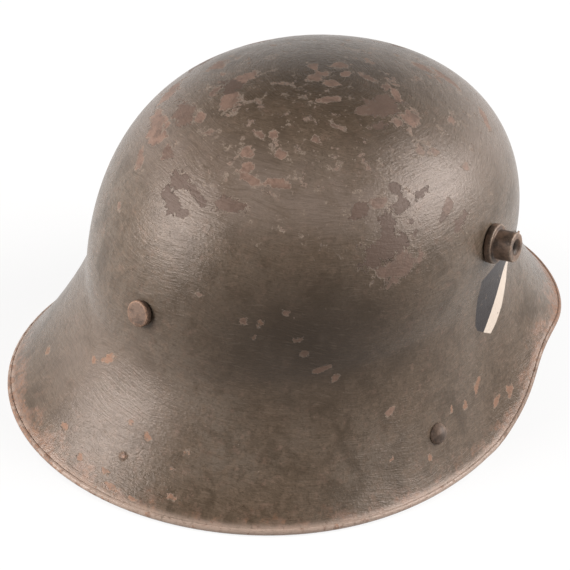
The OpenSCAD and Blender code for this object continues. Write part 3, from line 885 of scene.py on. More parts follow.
@dataclass(frozen=True)
class Leather:
    """Vegetable-tanned leather with its grain, creases and hand-darkened patches."""

    name: str
    colour: Colour
    shade: Colour
    rubbed: Colour
    rough: float = 0.52
    grain: float = 1.0
    relief: float = 0.00022

    def dress(self) -> Finish:
        """Builds the material.

        Returns:
            The leather.
        """
        g = Graph(self.name)
        pos = g.position()
        worn = g.mark("worn")
        cloud = g.noise(pos, 60.0, 4, 0.6, 0.5)
        blotch = g.noise(pos, 170.0, 4, 0.65, 0.3)
        pebbles = g.cells(pos, 1500.0, edges=True)
        creases = g.step(g.noise(pos, 240.0, 5, 0.7, 1.2), 0.46, 0.52)
        fold = g.math("ABSOLUTE", g.math("SUBTRACT", creases, 0.5))
        fibre = g.noise(pos, 2600.0, 3, 0.6)
        colour = g.mix(g.step(cloud, 0.36, 0.68), self.colour, self.shade)
        colour = g.laid(colour, self.shade, g.step(blotch, 0.54, 0.72), 0.6)
        colour = g.laid(colour, self.rubbed, worn, g.step(blotch, 0.30, 0.60))
        colour = g.laid(colour, self.shade, g.step(pebbles, 0.05, 0.0), 0.35)
        rough = g.total((blotch, 0.22), (fibre, 0.12), (worn, -0.10), (1.0, self.rough - 0.14))
        grain = g.step(pebbles, 0.0, 0.14)
        height = g.total((grain, 0.35 * self.grain), (fibre, 0.18), (fold, 0.5), (blotch, 0.35))
        normal = g.bump(height, self.relief)
        return g.done(Base_Color=colour, Roughness=rough, Normal=normal, Specular_IOR_Level=0.42)


@dataclass(frozen=True)
class Woven:
    """Plain-woven linen or cotton, with its threads, slubs and stains."""

    name: str
    colour: Colour
    stain: Colour
    threads_a_mm: float = 1.5
    rough: float = 0.88
    relief: float = 0.00028

    def dress(self) -> Finish:
        """Builds the material.

        Returns:
            The cloth.
        """
        g = Graph(self.name)
        pos = g.position()
        turns = self.threads_a_mm * math.pi / MM
        wander = g.times(g.math("SUBTRACT", g.noise(pos, 300.0, 2), 0.5), 1.6)
        over, under = (
            g.math("SINE", g.math("ADD", g.times(g.mark(name), turns), wander)) for name in ("warp", "weft")
        )
        weave = g.math("ABSOLUTE", g.times(over, under))
        slub = g.noise(pos, 1300.0, 3, 0.65)
        cloud = g.noise(pos, 70.0, 4, 0.6, 0.4)
        colour = g.mix(g.step(cloud, 0.40, 0.70), self.colour, self.stain)
        colour = g.mix(g.step(weave, 0.25, 0.0, 0.0, 0.45), colour, self.stain)
        colour = g.laid(colour, self.stain, g.step(slub, 0.50, 0.75), 0.35)
        normal = g.bump(g.total((weave, 0.6), (slub, 0.5)), self.relief)
        return g.done(
            Base_Color=colour, Roughness=self.rough, Normal=normal, Sheen_Weight=0.15, Sheen_Roughness=0.6,
            Specular_IOR_Level=0.2,
        )


@dataclass(frozen=True)
class Thread:
    """Waxed linen thread, for stitches and lacing."""

    name: str
    colour: Colour
    dirt: Colour
    relief: float = 0.0001

    def dress(self) -> Finish:
        """Builds the material.

        Returns:
            The thread.
        """
        g = Graph(self.name)
        pos = g.position()
        fibre = g.noise(pos, 3200.0, 3, 0.6)
        cloud = g.noise(pos, 160.0, 3, 0.6)
        colour = g.mix(g.step(cloud, 0.38, 0.66), self.colour, self.dirt)
        colour = g.laid(colour, self.dirt, g.step(fibre, 0.55, 0.75), 0.5)
        normal = g.bump(fibre, self.relief)
        return g.done(Base_Color=colour, Roughness=0.8, Normal=normal, Specular_IOR_Level=0.25)


@dataclass(frozen=True)
class Finishes:
    """Every finish of the helmet, built once."""

    shell: Finish
    lug: Finish
    rivet: Finish
    chin_rivet: Finish
    inner_steel: Finish
    band: Finish
    pad: Finish
    cushion: Finish
    lace: Finish
    stitch: Finish
    strap: Finish
    strap_steel: Finish

    @classmethod
    def mixed(cls) -> "Finishes":
        """Builds the materials.

        Returns:
            The finishes.
        """
        rivet = RustySteel(
            "rivet_steel", dark=(0.070, 0.046, 0.034), brown=(0.165, 0.110, 0.082),
            bright=(0.37, 0.215, 0.140), rough=0.55,
        )
        chin_rivet = RustySteel(
            "chin_rivet_steel", dark=(0.068, 0.047, 0.035), brown=(0.155, 0.106, 0.079),
            bright=(0.29, 0.21, 0.165), rough=0.5,
        )
        band = Leather("band_leather", (0.165, 0.085, 0.042), (0.085, 0.040, 0.020), (0.30, 0.18, 0.10))
        pad = Leather("pad_leather", (0.270, 0.150, 0.075), (0.135, 0.070, 0.034), (0.42, 0.27, 0.16), 0.56)
        strap = Leather(
            "strap_leather", (0.040, 0.026, 0.018), (0.018, 0.012, 0.009), (0.115, 0.070, 0.042), 0.46, 0.7
        )
        buckle = DullSteel("strap_steel", (0.30, 0.285, 0.26), (0.12, 0.095, 0.075), rough=0.42)
        return cls(
            shell=ShellPaint().dress(),
            lug=RustySteel("lug_steel").dress(),
            rivet=rivet.dress(),
            chin_rivet=chin_rivet.dress(),
            inner_steel=DullSteel("inner_steel", (0.36, 0.35, 0.32), (0.17, 0.14, 0.11)).dress(),
            band=band.dress(),
            pad=pad.dress(),
            cushion=Woven("cushion_cloth", (0.42, 0.35, 0.24), (0.25, 0.19, 0.12)).dress(),
            lace=Thread("lace_cord", (0.46, 0.38, 0.26), (0.24, 0.18, 0.11)).dress(),
            stitch=Thread("seam_thread", (0.52, 0.43, 0.29), (0.28, 0.21, 0.13)).dress(),
            strap=strap.dress(),
            strap_steel=buckle.dress(),
        )


@dataclass(frozen=True)
class Seat:
    """A place on the shell's outer face, with the directions of what is seated there."""

    origin: Array
    normal: Array

    def place(self, local: Array) -> Array:
        """Moves points drawn round +Z to the seat.

        Args:
            local: points whose third coordinate is the height above the shell.

        Returns:
            Points of the helmet.
        """
        lean = math.acos(self.normal[2])
        turn = math.atan2(self.normal[1], self.normal[0])
        rotation = Matrix.Rotation(turn, 3, "Z") @ Matrix.Rotation(lean, 3, "Y")
        return local @ np.array(rotation).T + self.origin


@dataclass(frozen=True)
class ShellForm:
    """The shell's shape: two cubic curves at each angle, one over the dome and one down the skirt."""

    crown_h: float = 167.5
    waist_half_w: float = 92.5
    waist_front: float = 123.0
    waist_rear: float = 111.5
    waist_z: Colour = (79.0, 78.0, 58.0)
    lean: Colour = (-1.0, -4.0, 0.0)
    flare: Colour = (66.0, 45.0, 54.0)
    crown_pull: float = 0.6
    wall_pull: float = 0.66
    neck_pull: float = 0.18
    edge_pull: float = 0.23
    visor_reach: float = 147.0
    skirt_half_w: float = 117.0
    skirt_reach: float = 147.0
    visor_rise: float = 35.0
    corner_turn: float = 18.0
    fall_turn: float = 44.0
    land_turn: float = 78.0
    ear_turn: float = 82.0
    temple_in: float = 3.4
    temple_turn: float = 52.5
    temple_half: float = 8.0
    sheet_t: float = 1.2
    bead_r: float = 1.6
    bead_proud: float = 0.5
    gutter_d: float = 0.12
    gutter_at: float = 0.91
    gutter_half: float = 0.05

    def flare_at(self, turn: Array) -> Array:
        """Angle of the skirt's edge from the vertical, in radians."""
        return np.radians(around(*self.flare, turn))

    def edge(self, turn: Array) -> Array:
        """The shell's edge.

        Args:
            turn: angles round the helmet, in radians.

        Returns:
            Its radius and height at each of them.
        """
        a = np.abs(from_front(turn))
        to_ear = ease((a - self.corner_turn) / (self.ear_turn - self.corner_turn))
        front = self.visor_reach - (self.visor_reach - self.skirt_half_w) * to_ear
        past = np.clip((a - self.ear_turn) / (180 - self.ear_turn), 0, 1)
        rear = self.skirt_half_w + (self.skirt_reach - self.skirt_half_w) * (1 - np.cos(np.pi * past)) / 2
        f = self.flare_at(turn)
        fall = ease((a - self.fall_turn) / (self.land_turn - self.fall_turn))
        rest = self.bead_r * (1 - np.cos(f)) + (self.bead_r - self.bead_proud) * np.sin(f)
        drawn_in = self.temple_in * hump(a, self.temple_turn, self.temple_half)
        reach = np.where(a < self.ear_turn, front, rear) - drawn_in
        return np.stack([reach, rest + self.visor_rise * (1 - fall)], -1)

    def curves(self, turn: Array) -> tuple[list[Array], list[Array]]:
        """Control points at each angle.

        Args:
            turn: angles round the helmet, in radians.

        Returns:
            Four points of the dome's curve and four of the skirt's.
        """
        c, s = np.cos(turn), np.sin(turn)
        reach = np.where(c > 0, self.waist_front, self.waist_rear)
        waist = np.stack([1 / np.hypot(s / self.waist_half_w, c / reach), around(*self.waist_z, turn)], -1)
        lean = np.radians(around(*self.lean, turn))
        down = np.stack([np.sin(lean), -np.cos(lean)], -1)
        f = self.flare_at(turn)
        out = np.stack([np.sin(f), -np.cos(f)], -1)
        edge = self.edge(turn)
        run = np.linalg.norm(edge - waist, axis=-1, keepdims=True)
        top = np.stack([0 * c, self.crown_h + 0 * c], -1)
        brow = np.stack([self.crown_pull * waist[..., 0], self.crown_h + 0 * c], -1)
        wall = waist - self.wall_pull * (self.crown_h - waist[..., 1:]) * down
        neck = waist + self.neck_pull * run * down
        return [top, brow, wall, waist], [waist, neck, edge - self.edge_pull * run * out, edge]

    def section(self, turn: Array, t: Array, depth: Array | float = 0.0) -> Array:
        """Radius and height on the wall.

        Args:
            turn: angles round the helmet, in radians.
            t: 0 to 1 from the crown to the waist, 1 to 2 from there to the edge.
            depth: how far below the outer face.

        Returns:
            Radius and height along the last axis.
        """
        turn, t, depth = np.broadcast_arrays(turn, t, depth)
        dome, skirt = self.curves(turn)
        low = (t < 1)[..., None]
        u = np.where(t < 1, t, t - 1)
        q = np.where(low, bezier(dome, u), bezier(skirt, u))
        way = np.where(low, bezier_way(dome, u), bezier_way(skirt, u))
        inward = np.stack([way[..., 1], -way[..., 0]], -1)
        return q + depth[..., None] * unit(inward)

    def gutter(self, t: Array) -> Array:
        """Depth of the gutter pressed behind the rolled edge."""
        return self.gutter_d * hump(t - 1, self.gutter_at, self.gutter_half)

    def bead(self, turn: Array, share: Array) -> Array:
        """The rolled edge in section, from the outer face round to the inner one.

        Args:
            turn: angles round the helmet, in radians.
            share: how far round the roll, from 0 to 1.

        Returns:
            Radius and height along the last axis.
        """
        f = self.flare_at(turn)
        out = np.stack([np.sin(f), -np.cos(f)], -1)
        up = np.stack([np.cos(f), np.sin(f)], -1)
        centre = self.edge(turn) - self.bead_r * out - (self.bead_r - self.bead_proud) * up
        first = -math.acos(1 - self.bead_proud / self.bead_r)
        last = 2 * math.pi - math.acos((self.bead_r - self.bead_proud - self.sheet_t) / self.bead_r)
        a = (first + (last - first) * share)[..., None]
        return centre + self.bead_r * (np.cos(a) * up + np.sin(a) * out)

    def t_at(self, turn: Array, z: Array, depth: Array | float) -> Array:
        """Finds where the wall, at a depth, has a height.

        Args:
            turn: angles round the helmet, in radians.
            z: the heights.
            depth: how far below the outer face.

        Returns:
            The share of the way, as section takes it.
        """
        turn, z = np.broadcast_arrays(turn, z)
        low, high = np.full(turn.shape, 0.05), np.full(turn.shape, 1.97)
        for _ in range(24):
            mid = (low + high) / 2
            above = self.section(turn, mid, depth)[..., 1] > z
            low, high = np.where(above, mid, low), np.where(above, high, mid)
        return (low + high) / 2

    def wall_r(self, turn: Array, z: Array, depth: float) -> Array:
        """Radius of the wall at a depth, at one angle and height."""
        return self.section(turn, self.t_at(turn, z, depth), depth)[..., 0]

    def t_down(self, degrees: float, down: float) -> float:
        """The share of the way at an angle and a distance down from the crown."""
        t = np.linspace(0, 2, 500)
        return float(np.interp(down, gone_by(self.section(math.radians(degrees), t)), t))

    def face_at(self, turn: Array, t: float) -> Array:
        """The point of the outer face at one angle and share of the way."""
        return at_turn(self.section(turn, np.array(t)), turn)

    def seat(self, degrees: float, z: float) -> Seat:
        """The place on the outer face at one angle and height."""
        turn = np.array(math.radians(degrees))
        return self.seat_at(degrees, float(self.t_at(turn, np.array(z), 0.0)))

    def seat_at(self, degrees: float, t: float) -> Seat:
        """The place on the outer face at one angle and share of the way.

        Args:
            degrees: the angle round the helmet.
            t: the share, as section takes it.

        Returns:
            The seat.
        """
        turn, small = np.array(math.radians(degrees)), 0.004
        to_left = self.face_at(turn + small, t) - self.face_at(turn - small, t)
        down = self.face_at(turn, t + small) - self.face_at(turn, max(t - small, 1e-4))
        return Seat(self.face_at(turn, t), unit(np.cross(to_left, down)))


@dataclass(frozen=True)
class Flake:
    """A patch where the paint has come off.

    Its place is the angle round the helmet and the distance down the shell from the crown. It is long in a
    direction that leans by tilt from level, and its tone goes from dark to pink rust.
    """

    turn: float
    down: float
    long: float
    short: float
    tilt: float = 0.0
    tone: float = 0.6


CROWN_FLAKES = (
    Flake(199, 49, 15, 10, 29, 0.75), Flake(214, 52, 9, 5, 34, 0.6), Flake(212, 43, 15, 8, 38, 0.0),
    Flake(220, 36, 15, 8, 48, 0.8), Flake(169, 56, 8, 4, 20, 0.7), Flake(163, 54, 7, 4, -63, 0.9),
    Flake(117, 11, 8, 6, 0, 0.9), Flake(163, 6, 14, 6, -68, 0.8), Flake(47, 11, 8, 4, 10, 0.9),
    Flake(6, 12, 11, 6, 78, 1.0), Flake(270, 6, 7, 5, -29, 0.9), Flake(131, 24, 10, 5, -4, 0.8),
    Flake(141, 50, 6, 5, -80, 0.8), Flake(48, 22, 10, 5, -61, 0.7), Flake(57, 30, 7, 4, 0, 0.6),
)
RIGHT_FLAKES = (
    Flake(83, 35, 20, 13, 6, 0.45), Flake(104, 33, 9, 5, -13, 0.5), Flake(62, 36, 9, 4, -37, 0.9),
    Flake(75, 48, 15, 9, -8, 1.0), Flake(87, 46, 8, 5, 9, 0.9), Flake(101, 44, 8, 5, -7, 0.4),
    Flake(18, 59, 15, 6, -53, 0.7), Flake(23, 71, 16, 6, -43, 0.7), Flake(57, 65, 7, 4, 0, 0.8),
    Flake(38, 88, 16, 5, -31, 0.8), Flake(89, 63, 6, 4, 25, 0.9), Flake(82, 67, 6, 4, 19, 0.8),
    Flake(109, 76, 8, 5, 65, 0.3), Flake(98, 81, 9, 4, -17, 0.2), Flake(117, 81, 8, 6, -13, 0.6),
    Flake(109, 84, 10, 6, -15, 0.3), Flake(124, 84, 10, 7, -14, 0.4), Flake(89, 91, 9, 5, -20, 0.5),
    Flake(106, 92, 3, 3, 0, 0.2), Flake(93, 95, 5, 3, -19, 0.3), Flake(105, 97, 4, 3, -66, 0.3),
    Flake(115, 91, 10, 8, -88, 0.3), Flake(117, 103, 24, 12, -17, 0.35), Flake(112, 111, 27, 11, -20, 0.55),
    Flake(86, 101, 11, 6, -23, 0.4), Flake(71, 82, 7, 4, 12, 0.9), Flake(96, 139, 3, 2, -42, 0.0),
)
REAR_FLAKES = (
    Flake(213, 83, 34, 12, 7, 0.95), Flake(209, 69, 20, 10, 7, 0.5), Flake(200, 65, 10, 5, 23, 0.8),
    Flake(197, 87, 10, 5, 23, 0.5), Flake(206, 98, 15, 6, 27, 0.8), Flake(183, 103, 12, 8, 18, 0.15),
    Flake(187, 100, 7, 5, 18, 0.15), Flake(178, 105, 5, 4, -25, 0.1), Flake(177, 95, 18, 4, 23, 0.3),
    Flake(184, 93, 12, 9, 0, 0.35), Flake(166, 93, 13, 8, 10, 0.45), Flake(169, 67, 7, 6, 0, 0.9),
    Flake(166, 74, 7, 5, -48, 0.9), Flake(156, 62, 6, 5, -57, 0.8), Flake(153, 77, 12, 6, 4, 0.85),
    Flake(163, 79, 15, 4, 14, 0.75), Flake(201, 121, 7, 3, 28, 0.9), Flake(169, 117, 3, 2, 15, 0.8),
    Flake(154, 141, 4, 4, 0, 1.1), Flake(150, 141, 6, 5, -60, 1.15), Flake(151, 148, 4, 3, -60, 1.1),
    Flake(144, 133, 4, 3, -16, 0.9), Flake(140, 145, 5, 3, -11, 1.1), Flake(138, 152, 5, 4, -20, 1.1),
    Flake(133, 160, 9, 3, -17, 1.1), Flake(129, 164, 5, 3, -30, 1.1), Flake(166, 135, 6, 3, 16, 0.7),
)
LEFT_FLAKES = (
    Flake(236, 74, 18, 9, 12, 0.8), Flake(248, 52, 13, 8, -20, 0.7), Flake(262, 70, 22, 11, 14, 0.5),
    Flake(275, 88, 11, 6, -10, 0.8), Flake(255, 97, 14, 6, 24, 0.4), Flake(288, 60, 16, 9, 30, 0.7),
    Flake(300, 82, 9, 5, -18, 0.9), Flake(318, 66, 19, 8, 6, 0.6), Flake(335, 90, 12, 6, 20, 0.8),
    Flake(352, 72, 14, 7, -12, 0.5), Flake(12, 98, 10, 5, 8, 0.7), Flake(268, 118, 7, 4, 10, 0.9),
    Flake(310, 112, 11, 4, -16, 0.6), Flake(228, 120, 8, 4, 18, 0.8),
)
SKIRT_FLAKES = (
    Flake(188, 189, 8, 5, -50, 1.3), Flake(175, 208, 3, 3, 0, 1.2), Flake(170, 211, 6, 4, 17, 1.3),
    Flake(161, 211, 5, 4, 0, 1.2), Flake(163, 220, 4, 3, 13, 1.2), Flake(175, 233, 6, 3, 23, 1.2),
    Flake(210, 211, 6, 4, 30, 1.2), Flake(182, 234, 5, 3, 20, 1.25), Flake(173, 238, 7, 3, 10, 1.25),
    Flake(168, 239, 5, 3, 10, 1.25), Flake(161, 232, 5, 3, 0, 1.2), Flake(192, 194, 5, 3, 30, 1.2),
    Flake(189, 227, 6, 4, 0, 1.3), Flake(113, 184, 7, 3, -21, 1.1), Flake(113, 206, 3, 3, 0, 1.2),
    Flake(101, 212, 4, 3, -32, 1.2), Flake(77, 194, 8, 5, -49, 1.2), Flake(84, 198, 5, 4, -36, 1.2),
    Flake(90, 195, 5, 3, -54, 1.2), Flake(71, 210, 7, 3, -44, 1.2), Flake(66, 210, 7, 5, -65, 1.2),
    Flake(240, 205, 6, 4, 20, 1.2), Flake(262, 190, 9, 4, -20, 0.8), Flake(305, 196, 7, 4, 15, 1.2),
)


@dataclass(frozen=True)
class Patch:
    """A patch on the shell with soft edges, by its angle and height."""

    turn: float
    height: float
    wide: float
    tall: float
    strength: float = 1.0

    def at(self, degrees: Array, z: Array) -> Array:
        """How strong it is at each angle and height."""
        off = ((degrees - self.turn) / self.wide) ** 2 + ((z - self.height) / self.tall) ** 2
        return self.strength * np.exp(-off)


@dataclass(frozen=True)
class Shell:
    """The pressed shell with its gutter and rolled edge, its dents and the state of its paint."""

    form: ShellForm
    finish: Finish
    holes: Sequence[tuple[Seat, float, bool]]
    around_n: int = 384
    dome_n: int = 88
    skirt_n: int = 34
    edge_n: int = 20
    bead_n: int = 22
    inner_skirt_n: int = 18
    inner_dome_n: int = 36
    edge_from: float = 0.84
    flakes: tuple[Flake, ...] = CROWN_FLAKES + RIGHT_FLAKES + REAR_FLAKES + LEFT_FLAKES + SKIRT_FLAKES
    unflaked_tone: float = 0.6
    # A broad patch of painted shade over the wall that faces the camera, and two small dark stains higher up.
    grime_and_shade: tuple[Patch, ...] = (
        Patch(138, 84, 32, 30), Patch(166, 93, 7, 11, 0.5), Patch(142, 112, 11, 6, 0.5),
    )
    # Painted shade over the crown.
    crown_shade: float = 0.85
    crown_shade_r: float = 46.0
    # Painted highlights: a patch low on the rear left of the skirt and a ring round the upper dome.
    pale: Patch = Patch(192, 42, 24, 24, 0.8)
    painted_highlight_ring: Pair = (141.0, 14.0)
    rim_rust: float = 0.85
    rustiest: tuple[tuple[float, float, float], ...] = ((205.0, 26.0, 0.75), (32.0, 24.0, 1.0))

    def _rows(self, turn: Array) -> tuple[Array, Array]:
        """Sections at every angle.

        Args:
            turn: the angles, in radians.

        Returns:
            Radius and height of each point, and how far each column of them is on the inside.
        """
        f = self.form
        dome = np.linspace(0, 1, self.dome_n + 1)[1:] * 0.9999
        skirt = 1 + np.linspace(0, self.edge_from, self.skirt_n + 1)[1:]
        near_edge = 1 + np.linspace(self.edge_from, 0.975, self.edge_n + 1)[1:]
        outer = np.concatenate([dome, skirt, near_edge])
        back_skirt = 1 + np.linspace(0.955, 0.02, self.inner_skirt_n)
        back_dome = np.linspace(1, 0, self.inner_dome_n + 1)[:-1] * 0.9999
        inner = np.concatenate([back_skirt, back_dome])
        share = np.linspace(0, 1, self.bead_n)
        q = np.concatenate([
            f.section(turn[:, None], outer, f.gutter(outer)), f.bead(turn[:, None], share[None]),
            f.section(turn[:, None], inner, f.sheet_t + f.gutter(inner)),
        ], 1)
        return q, np.concatenate([0 * outer, ease((share - 0.45) / 0.3), 1 + 0 * inner])

    @staticmethod
    def _dented(points: Array, inside: Array) -> Array:
        """Moves the points a little in and out, as a pressed and knocked sheet is.

        Args:
            points: the shell's points.
            inside: how far each column of them is on the inside.

        Returns:
            The moved points.
        """
        to_left = np.roll(points, -1, 0) - np.roll(points, 1, 0)
        normals = unit(np.cross(to_left, np.gradient(points, axis=1)))
        normals = np.where(inside[None, :, None] > 0.5, -normals, normals)
        slow = Grain(3, 70, 2).at(points) * 0.22 + Grain(7, 22, 2).at(points) * 0.06
        return points + normals * (slow * np.clip(points[..., 2] / 6, 0, 1))[..., None]

    def _levels(self, q: Array) -> Array:
        """Measures how far the points lie from the crown.

        Args:
            q: radius and height of each point.

        Returns:
            The distance down the outside, and on the inside that of the outside behind it.
        """
        gone = np.cumsum(np.linalg.norm(np.diff(q, axis=1, prepend=q[:, :1]), axis=-1), 1)
        level = np.linalg.norm(q[:, 0] - (0, self.form.crown_h), axis=-1)[:, None] + gone
        outer_n = self.dome_n + self.skirt_n + self.edge_n + self.bead_n
        end = level[:, outer_n - 1 : outer_n]
        return np.where(np.arange(q.shape[1]) < outer_n, level, 2 * end - level)

    def _flaked(self, points: Array) -> tuple[Array, Array]:
        """Works out where the paint has flaked off.

        Args:
            points: the shell's points.

        Returns:
            How deep inside a flake each point lies, up to 1, and that flake's tone.
        """
        deepest = np.full(points.shape[:-1], -1.0)
        tone = np.full(points.shape[:-1], self.unflaked_tone)
        for flake in self.flakes:
            seat = self.form.seat_at(flake.turn, self.form.t_down(flake.turn, flake.down))
            level = unit(np.cross([0.0, 0.0, 1.0], seat.normal))
            a = math.radians(-flake.tilt)
            long_way = math.cos(a) * level + math.sin(a) * np.cross(level, seat.normal) * -1
            short_way = np.cross(seat.normal, long_way)
            off = points - seat.origin
            deep = 1 - np.sqrt(
                (2 * (off @ long_way) / flake.long) ** 2
                + (2 * (off @ short_way) / flake.short) ** 2
                + (2 * (off @ seat.normal) / flake.long) ** 2
            )
            tone = np.where(deep > deepest, flake.tone, tone)
            deepest = np.maximum(deepest, deep)
        return deepest, tone

    def _edge_state(self, turn: Array, q: Array) -> tuple[Array, Array]:
        """Works out how the rim rusts, how pale the top of the rolled edge is, partly with wear and partly as
        a painted highlight, and where painted shadow lies under it.

        Args:
            turn: the angle of each row of points, in radians.
            q: radius and height of each point.

        Returns:
            How rusty each point is, and how pale the rolled edge's top is, which is below 0 on its underside,
            where painted shadow goes.
        """
        degrees, flare = np.degrees(turn), self.form.flare_at(turn)
        off = q - self.form.section(turn, np.full_like(turn, 2.0))[:, None]
        to_rim = np.linalg.norm(off, axis=-1)
        rust = np.full_like(turn, self.rim_rust)
        for middle, wide, more in self.rustiest:
            rust = rust + more * hump(degrees, middle, wide)
        rim = rust[:, None] * (np.exp(-to_rim / 7.0) + 0.35 * np.exp(-to_rim / 22.0))
        behind = 0.3 + 0.7 * ease((np.minimum(degrees, 360 - degrees) - 50) / 40)
        outward = np.stack([np.cos(flare), np.sin(flare)], -1)
        # The underside of the rolled edge, where painted shadow goes.
        under = ease(-np.sum(off * outward[:, None], -1) - 0.8) * (to_rim < 6)
        return rim, np.exp(-((to_rim / 4.2) ** 4)) * behind[:, None] * (1 - under) - under

    def _weathered(self, turn: Array, points: Array) -> tuple[Array, Array, Array]:
        """Works out where the paint is chipped, where a highlight is painted pale on it, and where painted
        shade and a few stains darken it.

        Args:
            turn: the angle of each row of points, in radians.
            points: the shell's points.

        Returns:
            Each of the three, from 0 to 1.
        """
        degrees, z = np.degrees(turn)[:, None], points[..., 2]
        wear = 0.15 + 0.75 * ease((z - 95) / 60) + 0.10 * hump(z, 105, 22)
        # Painted highlight: the ring round the upper dome and the patch on the skirt.
        pale = np.maximum(hump(z, *self.painted_highlight_ring), self.pale.at(degrees, z))
        # Painted shade on the crown and the wall facing the camera, with the two stains.
        from_axis = np.linalg.norm(points[..., :2], axis=-1)
        grime_and_shade = self.crown_shade * hump(from_axis, 0, self.crown_shade_r) * (z > 90)
        for patch in self.grime_and_shade:
            grime_and_shade = np.maximum(grime_and_shade, patch.at(degrees, z))
        return wear, pale, grime_and_shade

    @staticmethod
    def _closed(points: Array) -> tuple[Array, list[list[int]]]:
        """Closes the grid of points with one more at the crown outside and one inside.

        Args:
            points: the grid.

        Returns:
            Every point, and the faces.
        """
        n, m = points.shape[:2]
        crown = [[0, 0, points[:, 0, 2].mean() + 0.01], [0, 0, points[:, -1, 2].mean()]]
        faces = grid_faces(n, m, True, False).tolist()
        for i, k in enumerate([*range(1, n), 0]):
            faces += [[n * m, i * m, k * m], [n * m + 1, k * m + m - 1, i * m + m - 1]]
        return np.concatenate([points.reshape(-1, 3), crown]), faces

    def make(self) -> None:
        """Builds the shell, marks the state of its paint and cuts its holes."""
        turn = full_turn(self.around_n)
        q, inside = self._rows(turn)
        points = at_turn(q, turn[:, None])
        grown = self._dented(points, inside)
        bare, tone = self._flaked(grown)
        rim, bead = self._edge_state(turn, q)
        wear, pale, grime_and_shade = self._weathered(turn, points)
        piece = build("shell_pressing", *self._closed(grown))
        for name, values, at_crown, within in (
            ("level", self._levels(q) * MM, 0.0, 0.0),
            ("bare", np.where(inside > 0.6, -1.0, bare), -1.0, -1.0),
            ("tone", tone, self.unflaked_tone, self.unflaked_tone),
            ("rim", rim, 0.0, 0.0),
            ("bead", bead, 0.0, 0.0),
            ("grime_and_shade", grime_and_shade, self.crown_shade, self.crown_shade),
            ("pale", pale, 0.0, 0.0),
            ("wear", wear, 0.9, 0.9),
            ("inside", np.broadcast_to(inside, q.shape[:2]), 0.0, 1.0),
        ):
            mark(piece, name, np.append(values, (at_crown, within)))
        cut(piece, [
            drill(f"drill_{k}", seat, radius, -8.0, 6.0, 40, mirror)
            for k, (seat, radius, mirror) in enumerate(self.holes)
        ])
        seen(piece, self.finish, "helmet", "shell_paint", "shell")


@dataclass(frozen=True)
class Turned:
    """A piece of revolution, drawn by the radius and height of its section."""

    name: str
    section: Sequence[Pair]
    sides: int = 72
    battered: float = 0.0
    seed: int = 1
    worn_edges: tuple[Pair, ...] = ()
    mouth_r: float = 0.0

    def make(self, seat: Seat, mirror: bool) -> Piece:
        """Builds it on a seat.

        Args:
            seat: where it stands on the shell.
            mirror: whether it is the left one.

        Returns:
            The piece, with its edges' wear marked.
        """
        section = np.array(self.section, float)
        ends = section[[0, -1], 0] < 1e-6
        body = section[int(ends[0]) : len(section) - int(ends[1])]
        a, cols = full_turn(self.sides)[:, None], len(body)
        high = np.broadcast_to(body[:, 1], (self.sides, cols))
        ring = np.stack([body[:, 0] * np.cos(a), body[:, 0] * np.sin(a), high], -1)
        if self.battered:
            shift = Grain(self.seed, 4.5, 3).at(ring + self.seed * 37.0) * self.battered
            out = unit(ring * (1, 1, 0) + (0, 0, 1e-9))
            rise = np.clip(ring[..., 2:] / 2.0, 0, 1)
            ring = ring + out * shift[..., None] * rise + (0, 0, 1) * (shift[..., None] * 0.5 * rise)
        points, tip = [ring.reshape(-1, 3)], self.sides * cols
        faces = grid_faces(self.sides, cols, True, not ends.any()).tolist()
        for end, at, order in ((0, 0, 1), (-1, cols - 1, -1)):
            if ends[end]:
                top = ring[:, at, 2].mean() + (section[end, 1] - body[at, 1])
                points.append(np.array([[0, 0, top]]))
                for i in range(self.sides):
                    faces.append([tip, i * cols + at, (i + 1) % self.sides * cols + at][::order])
                tip += 1
        local = np.concatenate(points)
        piece = build(self.name, seat.place(local), faces, mirror)
        worn, apart = np.zeros(len(local)), np.linalg.norm(local[:, :2], axis=1)
        for r, h in self.worn_edges:
            worn = np.maximum(worn, np.exp(-(((local[:, 2] - h) ** 2 + (apart - r) ** 2) / 0.5)))
        mark(piece, "worn", worn)
        mark(piece, "mouth", np.clip((self.mouth_r - apart) / 1.6, 0, 1))
        return piece


def drill(
    name: str, seat: Seat, radius: float, low: float, high: float, sides: int, mirror: bool = False
) -> Piece:
    """Makes the solid that bores a hole."""
    bore = [(0.0, low), (radius, low), (radius, high), (0.0, high)]
    return Turned(name, bore, sides=sides).make(seat, mirror)


def corner(centre: Pair, radius: float, first: float, last: float, steps: int = 5) -> list[Pair]:
    """Points of an arc in a section, in even steps between two angles in degrees."""
    angles = np.radians(np.linspace(first, last, steps + 1))
    return [(centre[0] + radius * math.cos(a), centre[1] + radius * math.sin(a)) for a in angles]


def seen(piece: Piece, finish: Finish, body: str, slot: str, *nodes: str) -> None:
    """Finishes a piece, lets it ride and puts it in place of its CAD nodes.

    Args:
        piece: the piece.
        finish: its material.
        body: the CAD body that it moves with.
        slot: the name of a material slot, which is not used.
        nodes: the CAD nodes that it stands for.
    """
    piece.data.materials.clear()
    piece.data.materials.append(finish)
    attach(piece, body)
    if nodes:
        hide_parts(*nodes)
    LOG.info("%s rides on %s with %d faces", piece.name, body, len(piece.data.polygons))


